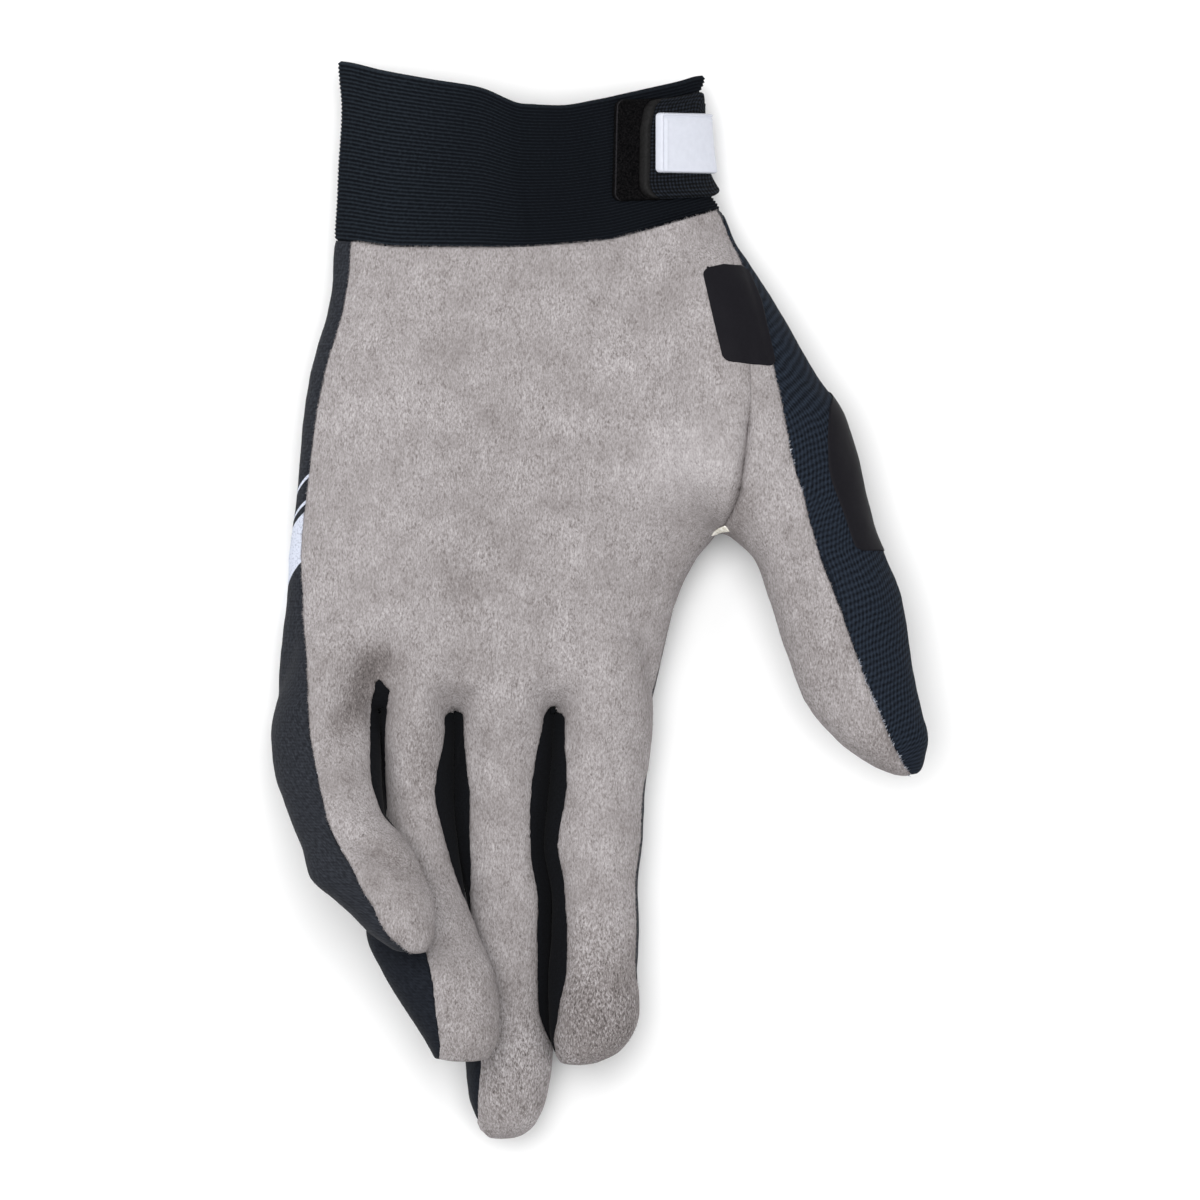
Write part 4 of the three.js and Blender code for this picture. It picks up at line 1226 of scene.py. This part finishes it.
tack_start = on_skin(*TACK_FROM)
tack_run = on_skin(*TACK_TO) - tack_start
stitch_points = []
stitch_faces = []
for number in range(TACK_STITCHES):
    share = number / (TACK_STITCHES - 1)
    middle, out = skin_tree.find_nearest(tack_start + tack_run * share)[:2]
    stitch_way = out.cross(tack_run).normalized()
    for ring in range(STITCH_RINGS):
        t = 2 * ring / (STITCH_RINGS - 1) - 1
        spot, up = skin_tree.find_nearest(middle + stitch_way * STITCH_HALF * t)[:2]
        radius = STITCH_THICK * math.sqrt(1 - STITCH_CLOSED * t ** 4)
        across = up.cross(stitch_way).normalized()
        for step in range(STITCH_SIDES):
            turn = 2 * math.pi * step / STITCH_SIDES
            place = spot + up * (SUEDE_LIFT + radius * math.sin(turn))
            stitch_points.append(tuple(place + across * radius * math.cos(turn)))
    first = number * STITCH_RINGS * STITCH_SIDES
    around = np.arange(STITCH_SIDES)
    beyond = (around + 1) % STITCH_SIDES
    for ring in range(STITCH_RINGS - 1):
        low_ring = first + ring * STITCH_SIDES
        high_ring = low_ring + STITCH_SIDES
        stitch_faces.extend(np.column_stack([
            low_ring + around, low_ring + beyond, high_ring + beyond, high_ring + around]).tolist())
    stitch_faces.append((first + around[::-1]).tolist())
    stitch_faces.append((first + (STITCH_RINGS - 1) * STITCH_SIDES + around).tolist())
tack = new_object("crotch_stitches", np.array(stitch_points) * MM, stitch_faces)
face_outwards(tack)
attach(tack, "root")
# Bonded polyester thread: cream.
CREAM_THREAD = "cream sewing thread"
new_thread(CREAM_THREAD, "#cbc6b8", "#f1eee6")
wear(tack, CREAM_THREAD)

# Cuff
# A wide band of ribbed elastic knit, its ribs running round the wrist, sewn on under the
# edge of the suede and left with a clean folded top.
CUFF_BODY = np.vstack([
    [[124, -58.5, 23.8, -1.0, 20.5, 1.5, -57, 21],
     [116, -58.0, 22.9, -1.0, 21.0, 1.5, -57, 21],
     [110, -57.5, 20.3, -1.0, 21.0, 1.5, -56, 19]],
    BODY,
])
CUFF_EDGE = np.array([
    [-75, 120.7], [-58, 119.7], [-49, 117.6], [-38, 115.5], [-27, 113.6], [-17, 109.8], [-9, 109.5],
    [0, 110.9], [4.5, 111.9], [12.3, 113.7], [18, 115.1], [22, 116.3], [40, 118],
])
RIBS = 46
STEPS_PER_RIB = 4
RIB_HEIGHT = 0.16
CUFF_SIDES = 200
TUCK = 2.0
TUCK_INSET = 1.3
CUFF_CREASES = np.array([
    [-25, 113, -40, 85, 2.6, 1.1],
    [-15.5, 109, -15, 82, 1.8, 0.8],
    [-30, 84.5, 8, 84, 1.4, 0.4],
    [-52, 116, -54, 88, 3.0, 0.4],
    [-2, 106, 0, 88, 3.0, 0.5],
])
# Below the suede's edge the knit steps in under it; its ribs start past that.
TUCK_STEP = (-0.6, 0.5)
CUFF_SWELL = 0.25
CUFF_SWELL_FROM = (0.0, 2.0)
RIBS_FROM = (-0.2, 0.4)
CUFF_THICK = 1.0
CUFF_MIDDLE = 100.0
CUFF_TRIES = 3
cuff_rows = RIBS * STEPS_PER_RIB + 1
cuff_grid = np.meshgrid(np.arange(CUFF_SIDES) * 360 / CUFF_SIDES, np.linspace(0, 1, cuff_rows))
cuff_angle, cuff_share = (grid.reshape(-1) for grid in cuff_grid)
cuff_y = np.full(len(cuff_angle), CUFF_MIDDLE)
# Both edges run by X, which depends on Y, so the two are found in turns.
for attempt in range(CUFF_TRIES):
    cuff_x = ring_point(sections(CUFF_BODY, cuff_y), cuff_angle, 0)[:, 0]
    bottom = smooth_through(WRIST_SEAM[:, 0], WRIST_SEAM[:, 1], cuff_x) - TUCK
    top = smooth_through(CUFF_EDGE[:, 0], CUFF_EDGE[:, 1], cuff_x)
    cuff_y = bottom + (top - bottom) * cuff_share
above = cuff_y - bottom - TUCK
tucked = TUCK_INSET * (1 - rise(above, *TUCK_STEP)) - CUFF_SWELL * rise(above, *CUFF_SWELL_FROM)
ribbed = RIB_HEIGHT * np.cos(2 * np.pi * cuff_share * RIBS) * rise(above, *RIBS_FROM)
cuff_section = sections(CUFF_BODY, cuff_y)
cuff_place = ring_point(cuff_section, cuff_angle, 0.0)
here = np.arange(CUFF_SIDES)
after = (here + 1) % CUFF_SIDES
cuff_faces = np.concatenate([
    np.column_stack([low + here, low + after, low + CUFF_SIDES + after, low + CUFF_SIDES + here])
    for low in np.arange(cuff_rows - 1) * CUFF_SIDES
])
cuff_triangles = np.concatenate([cuff_faces[:, [0, 1, 2]], cuff_faces[:, [0, 2, 3]]])
cuff_normals = point_normals(cuff_place, cuff_triangles)
if (cuff_normals[:, 2] * np.sin(np.radians(cuff_angle))).mean() < 0:
    cuff_faces = cuff_faces[:, ::-1]
    cuff_normals = -cuff_normals
CUFF_WAVES = [(0.25, 12.0, 4)]
CUFF_LOWEST = 0.05
fold = crease_depth(cuff_place[:, 0], cuff_place[:, 1], CUFF_CREASES)
fold *= rise(cuff_normals[:, 2], *FACING_UP)
cuff_out = ribbed - tucked + ripples(cuff_place, CUFF_WAVES)
cuff_place += cuff_normals * cuff_out[:, None]
cuff_place[:, 2] = np.maximum(cuff_place[:, 2] - fold, CUFF_LOWEST)
cuff = new_object("cuff_band", cuff_place * MM, cuff_faces)
flat_pattern(cuff, arc_length(cuff_angle, cuff_section) * MM, cuff_share * RIBS)
make_active(cuff)
wall = cuff.modifiers.new("wall", "SOLIDIFY")
wall.thickness = CUFF_THICK * MM
wall.offset = -1
bpy.ops.object.modifier_apply(modifier="wall")
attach(cuff, "root")
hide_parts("cuff")

# Covered rubber thread: blue-black yarn, matt, with a painted highlight on the crest of each rib and
# painted shade in the grooves.
RIBBED = "ribbed elastic knit"
STITCH = 0.6 * MM
rib_tree = new_material(RIBBED)
rib_uv = node(rib_tree, "ShaderNodeUVMap", uv_map="cloth")
rib_number = node(rib_tree, "ShaderNodeSeparateXYZ", {"Vector": rib_uv}).outputs["Y"]
# The rib crests are coloured lighter and the grooves darker, as painted light and shade.
rib_turn = node(rib_tree, "ShaderNodeMath", {
    0: rib_number, 1: 2 * math.pi}, operation="MULTIPLY")
rib_crest = node(rib_tree, "ShaderNodeMath", {0: rib_turn}, operation="COSINE")
stitch_place = node(rib_tree, "ShaderNodeMapping", {
    "Vector": rib_uv, "Scale": (1 / STITCH, 1.0, 1.0)})
stitch = node(rib_tree, "ShaderNodeTexNoise", {
    "Vector": stitch_place, "Scale": 1.0, "Detail": 2.0})
rib_shade = node(rib_tree, "ShaderNodeMath", {
    0: rib_crest, 1: 0.3, 2: stitch}, operation="MULTIPLY_ADD")
# Towards the middle the knit is stretched flat, and the painted highlight and shade of its ribs show less.
cuff_object = node(rib_tree, "ShaderNodeTexCoord").outputs["Object"]
cuff_across = node(rib_tree, "ShaderNodeSeparateXYZ", {"Vector": cuff_object})
stretched = node(rib_tree, "ShaderNodeMapRange", {
    "Value": cuff_across, "From Min": -45 * MM, "From Max": -12 * MM, "To Min": 1.0, "To Max": 0.5})
rib_faint = node(rib_tree, "ShaderNodeMath", {0: rib_shade, 1: stretched}, operation="MULTIPLY")
rib_tone = node(rib_tree, "ShaderNodeValToRGB", {"Fac": rib_faint}, [
    (0.25, "#0a0d12"), (0.9, "#232930")])
surface(rib_tree, rib_tone, rib_shade, 0.5, 0.15 * MM, {
    "Roughness": 0.9, "Specular IOR Level": 0.08})
wear(cuff, RIBBED)

# Loop patch
# The soft half of a touch fastener, a square of napped loops sewn on the cuff.
PATCH_THICK = 1.5
LAID_GAP = 0.2
PACKED = 0.6


def edge_distance(u, v, width, height):
    return np.minimum(np.minimum(u, 1 - u) * width, np.minimum(v, 1 - v) * height)


def spread_evenly(count, packed):
    """Shares from 0 to 1, closer together near both ends."""
    t = np.linspace(0, 1, count)
    return t - packed * np.sin(2 * np.pi * t) / (2 * np.pi)


def laid_grid(rows, start, end, bottom, top, corner, count_u, count_v, outset=0.0):
    """A grid laid on the sections of rows: each point's section, angle and shares across and
    along. It runs from a start, a table of X by Y, to an end, another such table or an angle
    round the edge, and from a bottom to a top edge, tables of Y by share across. Its corners
    are rounded, except at an end given by an angle."""
    u, v = np.meshgrid(spread_evenly(count_u, PACKED), spread_evenly(count_v, PACKED))
    u = u.reshape(-1)
    v = v.reshape(-1)
    low = np.interp(u, bottom[:, 0], bottom[:, 1])
    high = np.interp(u, top[:, 0], top[:, 1])
    place_y = low + (high - low) * v
    from_end = np.minimum(place_y - low, high - place_y)
    cut_in = np.maximum(0, corner - from_end)
    rounding = corner - np.sqrt(np.maximum(0, corner ** 2 - cut_in ** 2))
    section = sections(rows, place_y)
    widened = section.copy()
    widened[:, 1] -= outset
    widened[:, 2] += outset
    first = seam_angle(widened, np.interp(place_y, start[:, 0], start[:, 1]) + rounding)
    if isinstance(end, float):
        last = np.full(len(u), end)
    else:
        last = seam_angle(widened, np.interp(place_y, end[:, 0], end[:, 1]) - rounding)
    angle = first + (last - first) * u
    return section, angle, u, v


def grid_faces(count_u, count_v, first=0):
    row = np.arange(count_u - 1)
    return np.concatenate([
        np.column_stack([
            first + r * count_u + row, first + r * count_u + row + 1,
            first + (r + 1) * count_u + row + 1, first + (r + 1) * count_u + row,
        ])
        for r in range(count_v - 1)
    ])


def slab(name, top, underside, count_u, count_v):
    """A closed piece between two grids of points, in mm."""
    total = count_u * count_v
    upper = grid_faces(count_u, count_v)
    lower = upper[:, ::-1] + total
    rim = np.concatenate([
        np.arange(count_u - 1),
        np.arange(count_v - 1) * count_u + count_u - 1,
        np.arange(count_u - 1, 0, -1) + (count_v - 1) * count_u,
        np.arange(count_v - 1, 0, -1) * count_u,
    ])
    following = np.roll(rim, -1)
    walls = np.column_stack([rim, rim + total, following + total, following])
    faces = np.concatenate([upper, lower, walls])
    points = np.concatenate([top, underside])
    made = new_object(name, points * MM, faces)
    face_outwards(made)
    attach(made, "root")
    return made


def size_across(section, angle, count_u, count_v):
    """Mean width and height of a laid grid, in mm."""
    points = ring_point(section, angle, 0).reshape(count_v, count_u, 3)
    width = np.linalg.norm(np.diff(points, axis=1), axis=2).sum(axis=1).mean()
    height = np.linalg.norm(np.diff(points, axis=0), axis=2).sum(axis=0).mean()
    return width, height


def run_across(section, angle, count_u, count_v):
    """How far each point of a laid grid is from its start, in mm."""
    points = ring_point(section, angle, 0).reshape(count_v, count_u, 3)
    steps = np.linalg.norm(np.diff(points, axis=1), axis=2)
    return np.column_stack([np.zeros(count_v), np.cumsum(steps, axis=1)]).reshape(-1)


def rounded_rise(distance, radius, thickness):
    """Height of a soft edge above its foot."""
    inwards = np.clip(distance / radius, 0, 1)
    return thickness * np.sqrt(1 - (1 - inwards) ** 2)


PATCH_U, PATCH_V = 60, 90
PATCH_ROUND = 0.7
PATCH_SUNK = 0.1
PATCH_BOTTOM = np.array([[0, 88.8], [1, 89.2]])
PATCH_TOP = np.array([[0, 111.5], [1, 112.0]])
PATCH_START = np.array([[80, 3.0], [90, 2.6], [105, 2.9], [120, 3.4]])
PATCH_END = np.array([[80, 17.0], [120, 17.0]])
section, angle, u, v = laid_grid(
    CUFF_BODY, PATCH_START, PATCH_END, PATCH_BOTTOM, PATCH_TOP,
    corner=1.8, count_u=PATCH_U, count_v=PATCH_V)
width, height = size_across(section, angle, PATCH_U, PATCH_V)
from_edge = edge_distance(u, v, width, height)
patch_top = ring_point(section, angle, LAID_GAP)
FLUFF = [(0.2, 0.9, 6), (0.12, 0.45, 7)]
FLUFF_FROM_EDGE = (0.6, 1.4)
fluff = ripples(patch_top, FLUFF) * rise(from_edge, *FLUFF_FROM_EDGE)
patch_top[:, 2] += rounded_rise(from_edge, PATCH_ROUND, PATCH_THICK) + fluff
patch_foot = ring_point(section, angle, LAID_GAP - PATCH_SUNK)
loop_patch = slab("loop_square", patch_top, patch_foot, PATCH_U, PATCH_V)
patch_run = run_across(section, angle, PATCH_U, PATCH_V)
flat_pattern(loop_patch, patch_run * MM, v * height * MM)
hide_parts("loop_patch")

# Napped nylon loops: deep brown-black that scatters light, with paler single threads.
LOOPS = "napped nylon loops"
nap_tree = new_material(LOOPS)
nap_place = node(nap_tree, "ShaderNodeTexCoord").outputs["Object"]
threads = node(nap_tree, "ShaderNodeTexNoise", {
    "Vector": nap_place, "Scale": 1 / (0.35 * MM), "Detail": 3.0, "Roughness": 0.7})
nap_tone = node(nap_tree, "ShaderNodeValToRGB", {"Fac": threads}, [
    (0.42, "#020203"), (0.72, "#1b1a1b")])
# A thin stitched selvedge, a little paler, runs down the edge nearest the palm.
SELVEDGE_AT = 0.75 * MM
SELVEDGE_HALF = 0.16 * MM
patch_uv = node(nap_tree, "ShaderNodeUVMap", uv_map="cloth")
patch_across = node(nap_tree, "ShaderNodeSeparateXYZ", {"Vector": patch_uv})
selvedge = node(nap_tree, "ShaderNodeMath", {
    0: patch_across, 1: SELVEDGE_AT, 2: SELVEDGE_HALF}, operation="COMPARE")
selvedge_share = node(nap_tree, "ShaderNodeMath", {0: selvedge, 1: threads}, operation="MULTIPLY")
nap_colour = node(nap_tree, "ShaderNodeMix", {
    0: selvedge_share, MIX_A: nap_tone, MIX_B: colour("#343336")}, data_type="RGBA")
surface(nap_tree, nap_colour.outputs[MIX_RESULT], threads, 0.9, 0.3 * MM, {
    "Roughness": 0.95, "Specular IOR Level": 0.05})
wear(loop_patch, LOOPS)

# Closure strap
# A tab of black ribbed webbing with a bound end that comes round from the back of the
# wrist and presses on the loop patch. It is sewn down at its far end, out of sight.
STRAP_THICK = 1.4
STRAP_GAP = 0.15
STRAP_FOOT = LAID_GAP + PATCH_THICK + STRAP_GAP
STRAP_ROUND = 0.8
STRAP_U, STRAP_V = 110, 90


def raised(section, angle, foot, height):
    """Points by their height over a foot, both outwards from their sections."""
    start = ring_point(section, angle, foot)
    return start + (ring_point(section, angle, foot + 1) - start) * height[:, None]


# The binding's inner edge slopes down between these distances from the strap's end.
BINDING_EDGE = (1.25, 1.6)
BINDING_RISE = 0.3
STRAP_BOTTOM = np.array([[0, 89.3], [0.35, 90.1], [0.5, 91.2], [0.6, 92.3], [1, 93.5]])
STRAP_TOP = np.array([
    [0, 111.6], [0.12, 112.3], [0.27, 113.4], [0.33, 113.3], [0.36, 112.6], [0.42, 111.3], [1, 110.5],
])
STRAP_START = np.array([[88, 9.6], [93, 8.6], [105, 8.8], [112, 10.2]])
STRAP_END = -48.0
section, angle, u, v = laid_grid(
    CUFF_BODY, STRAP_START, STRAP_END, STRAP_BOTTOM, STRAP_TOP,
    corner=2.6, count_u=STRAP_U, count_v=STRAP_V, outset=STRAP_FOOT)
height = size_across(section, angle, STRAP_U, STRAP_V)[1]
run = run_across(section, angle, STRAP_U, STRAP_V)
from_edge = np.minimum(np.minimum(v, 1 - v) * height, run)
bound = 1 - rise(run, *BINDING_EDGE)
strap_height = rounded_rise(from_edge, STRAP_ROUND, STRAP_THICK) + BINDING_RISE * bound
strap_foot = ring_point(section, angle, STRAP_FOOT)
strap_top = raised(section, angle, STRAP_FOOT, strap_height)
strap = slab("strap_tab", strap_top, strap_foot, STRAP_U, STRAP_V)
flat_pattern(strap, run * MM, v * height * MM)
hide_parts("closure_strap")

# Nylon webbing: short slanting ribs, blue-black, with painted highlights on the ribs; binding tape: smooth
# brown-black braid.
WEBBING = "ribbed nylon webbing"
woven_tree(WEBBING, "#030406", "#20252d", 1.1 * MM, 0.25 * MM, 0.55)
wear(strap, WEBBING)


def grained_material(name, grain_size, detail, tones, strength, depth, look):
    """A plain surface with a fine grain in its tone and relief."""
    tree = new_material(name)
    place = node(tree, "ShaderNodeTexCoord").outputs["Object"]
    grain = node(tree, "ShaderNodeTexNoise", {
        "Vector": place, "Scale": 1 / grain_size, "Detail": detail})
    tone = node(tree, "ShaderNodeValToRGB", {"Fac": grain}, tones)
    surface(tree, tone, grain, strength, depth, look)


def second_material(piece, material, where):
    """Gives another material to the faces of a slab that lie in a part of its grid."""
    piece.data.materials.append(bpy.data.materials[material])
    inside = np.tile(where, 2)
    for face in piece.data.polygons:
        if all(inside[corner] for corner in face.vertices):
            face.material_index = 1


BINDING = "binding tape"
grained_material(
    BINDING, 0.5 * MM, 2.0, [(0.3, "#050505"), (0.8, "#1a191a")], 0.4, 0.1 * MM,
    {"Roughness": 0.6, "Specular IOR Level": 0.15})
second_material(strap, BINDING, bound > 0.5)

# Badge
# A plain moulded white rubber plate with straight edges, welded to the strap, with a fine
# raised rim along its left and top edges.
BADGE_GAP = 0.1
BADGE_FOOT = STRAP_FOOT + STRAP_THICK + BADGE_GAP
BADGE_THICK = 1.4
BADGE_ROUND = 0.5
# Raised and sunken lines along the left and top edges: distance, reach, height.
RIM_LINES = [(0.4, 0.25, 0.22), (0.95, 0.2, -0.22), (1.5, 0.25, 0.12)]
BADGE_U, BADGE_V = 160, 120
BADGE_BOTTOM = np.array([[0, 95.2], [1, 95.2]])
BADGE_TOP = np.array([[0, 108.6], [1, 108.6]])
BADGE_START = np.array([[90, 12.4], [113, 12.4]])
BADGE_END = -20.0
section, angle, u, v = laid_grid(
    CUFF_BODY, BADGE_START, BADGE_END, BADGE_BOTTOM, BADGE_TOP,
    corner=1.0, count_u=BADGE_U, count_v=BADGE_V, outset=BADGE_FOOT)
height = size_across(section, angle, BADGE_U, BADGE_V)[1]
run = run_across(section, angle, BADGE_U, BADGE_V)
from_edge = np.minimum(np.minimum(v, 1 - v) * height, run)
from_rim = np.minimum((1 - v) * height, run)
badge_height = rounded_rise(from_edge, BADGE_ROUND, BADGE_THICK)
for place, reach, line_height in RIM_LINES:
    badge_height += line_height * np.exp(-((from_rim - place) / reach) ** 2)
badge_foot = ring_point(section, angle, BADGE_FOOT)
badge_top = raised(section, angle, BADGE_FOOT, badge_height)
badge = slab("badge_plate", badge_top, badge_foot, BADGE_U, BADGE_V)
flat_pattern(badge, run * MM, v * height * MM)
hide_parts("badge")

# Moulded thermoplastic rubber: bluish white, satin, with faint moulding unevenness.
RUBBER = "white moulded rubber"
grained_material(
    RUBBER, 1.2 * MM, 3.0, [(0.0, "#c6c9d3"), (1.0, "#d3d6e0")], 0.15, 0.05 * MM,
    {"Roughness": 0.45, "Specular IOR Level": 0.3})
wear(badge, RUBBER)

# Side label
# A plain tab of satin black film, heat-pressed on the suede where the thumb's base turns.
LABEL_THICK = 0.4
PRESSED_GAP = 0.05
PRESSED_ROUND = 0.3
# How far over the sections a piece starts, to fall on the nearest skin.
HOVER = 0.8


def pressed_on(name, section, angle, foot, height, count_u, count_v):
    """A thin piece that follows the finished skin, from a foot to a height above it."""
    near = ring_point(section, angle, HOVER)
    spots = np.array([skin_tree.find_nearest(Vector(point))[0] for point in near.tolist()])
    squares = grid_faces(count_u, count_v)
    out = point_normals(spots, np.concatenate([squares[:, [0, 1, 2]], squares[:, [0, 2, 3]]]))
    out *= np.sign((out * (near - spots)).sum(axis=1).mean())
    top = spots + out * (foot + height)[:, None]
    return slab(name, top, spots + out * foot, count_u, count_v)


LABEL_U, LABEL_V = 36, 70
LABEL_BOTTOM = np.array([[0, 53.0], [1, 52.2]])
LABEL_TOP = np.array([[0, 74.1], [0.4, 74.9], [1, 74.5]])
LABEL_START = np.array([[50, 28.2], [55.7, 26.8], [72.3, 22.9], [76, 22.3]])
LABEL_END = np.array([[50, 39.5], [54, 38.6], [67, 35.4], [75.5, 31.9]])
section, angle, u, v = laid_grid(
    THUMB, LABEL_START, LABEL_END, LABEL_BOTTOM, LABEL_TOP,
    corner=1.8, count_u=LABEL_U, count_v=LABEL_V)
width, height = size_across(section, angle, LABEL_U, LABEL_V)
from_edge = edge_distance(u, v, width, height)
label_height = rounded_rise(from_edge, PRESSED_ROUND, LABEL_THICK)
label_foot = SUEDE_LIFT + PRESSED_GAP
label = pressed_on("label_tab", section, angle, label_foot, label_height, LABEL_U, LABEL_V)
flat_pattern(label, u * width * MM, v * height * MM)
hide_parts("side_label")

# Pressed polyurethane film: warm black, satin, faintly grained by the cloth under it.
FILM = "satin black film"
grained_material(
    FILM, 0.6 * MM, 2.0, [(0.0, "#131216"), (1.0, "#19181d")], 0.2, 0.05 * MM,
    {"Roughness": 0.6, "Specular IOR Level": 0.08})
wear(label, FILM)

# Thumb guard
# A smooth patch bonded over the outer side of the thumb where it rubs on the grip.
GUARD_THICK = 0.28
GUARD_U, GUARD_V = 40, 90
GUARD_START = np.array([
    [9.6, 57.6], [12.5, 56.6], [20, 53.9], [26.3, 51.4], [29.4, 50.6], [35.9, 50.5], [43, 50.7], [47, 51.8],
])
GUARD_BOTTOM = np.array([[0, 11.4], [1, 10.8]])
GUARD_TOP = np.array([[0, 46.5], [1, 47.5]])
GUARD_END = -33.0
section, angle, u, v = laid_grid(
    THUMB, GUARD_START, GUARD_END, GUARD_BOTTOM, GUARD_TOP,
    corner=1.6, count_u=GUARD_U, count_v=GUARD_V)
width, height = size_across(section, angle, GUARD_U, GUARD_V)
from_edge = edge_distance(u, v, width, height)
guard_height = rounded_rise(from_edge, PRESSED_ROUND, GUARD_THICK)
guard = pressed_on("guard_patch", section, angle, PRESSED_GAP, guard_height, GUARD_U, GUARD_V)
flat_pattern(guard, u * width * MM, v * height * MM)
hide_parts("thumb_guard")
wear(guard, FILM)

# Floor, light and camera
# A white paper sweep under soft boxes, seen from straight above through a long lens.
FLOOR_SIZE = 6.0
FLOOR_GAP = 0.0002
bpy.ops.object.select_all(action="DESELECT")
bpy.ops.mesh.primitive_plane_add(size=FLOOR_SIZE, location=(0, 0, -FLOOR_GAP))
floor = bpy.context.object
floor.name = "floor"
floor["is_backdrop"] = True
paper_tree = new_material("white paper")
paper = node(paper_tree, "ShaderNodeBsdfPrincipled", {
    "Base Color": colour("#fdfdfd"), "Roughness": 0.9})
node(paper_tree, "ShaderNodeOutputMaterial", {"Surface": paper})
floor.data.materials.append(bpy.data.materials["white paper"])

# Each soft box: name, place, size and power
LIGHTS = [
    ("over", (-0.1, 0.2, 1.7), 1.3, 26.5),
    ("left", (-1.2, 0.5, 0.9), 0.9, 6.0),
    ("right", (1.2, -0.3, 1.0), 0.9, 4.0),
]
for name, place, size, power in LIGHTS:
    lamp = bpy.data.lights.new(name, "AREA")
    lamp.size = size
    lamp.energy = power
    box = bpy.data.objects.new(name, lamp)
    box.location = place
    box.rotation_euler = (-Vector(place)).to_track_quat("-Z", "Y").to_euler()
    bpy.context.collection.objects.link(box)
ROOM_LIGHT = 0.38
world = bpy.data.worlds.new("studio")
world.use_nodes = True
world.node_tree.nodes["Background"].inputs["Color"].default_value = colour("#ffffff")
world.node_tree.nodes["Background"].inputs["Strength"].default_value = ROOM_LIGHT
bpy.context.scene.world = world
bpy.context.scene.view_settings.view_transform = "Standard"

PHOTO_PIXELS = 1200
PIXEL = 0.223
PHOTO_WIDTH = PHOTO_PIXELS * PIXEL * MM
CAMERA_HEIGHT = 3.5
SUBJECT_HEIGHT = 0.014
SENSOR = 36.0
lens = bpy.data.cameras.new("camera")
lens.sensor_width = SENSOR
lens.lens = SENSOR * CAMERA_HEIGHT / PHOTO_WIDTH
camera = bpy.data.objects.new("camera", lens)
camera.location = (0, 0, CAMERA_HEIGHT + SUBJECT_HEIGHT)
bpy.context.collection.objects.link(camera)
bpy.context.scene.camera = camera

low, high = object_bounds()
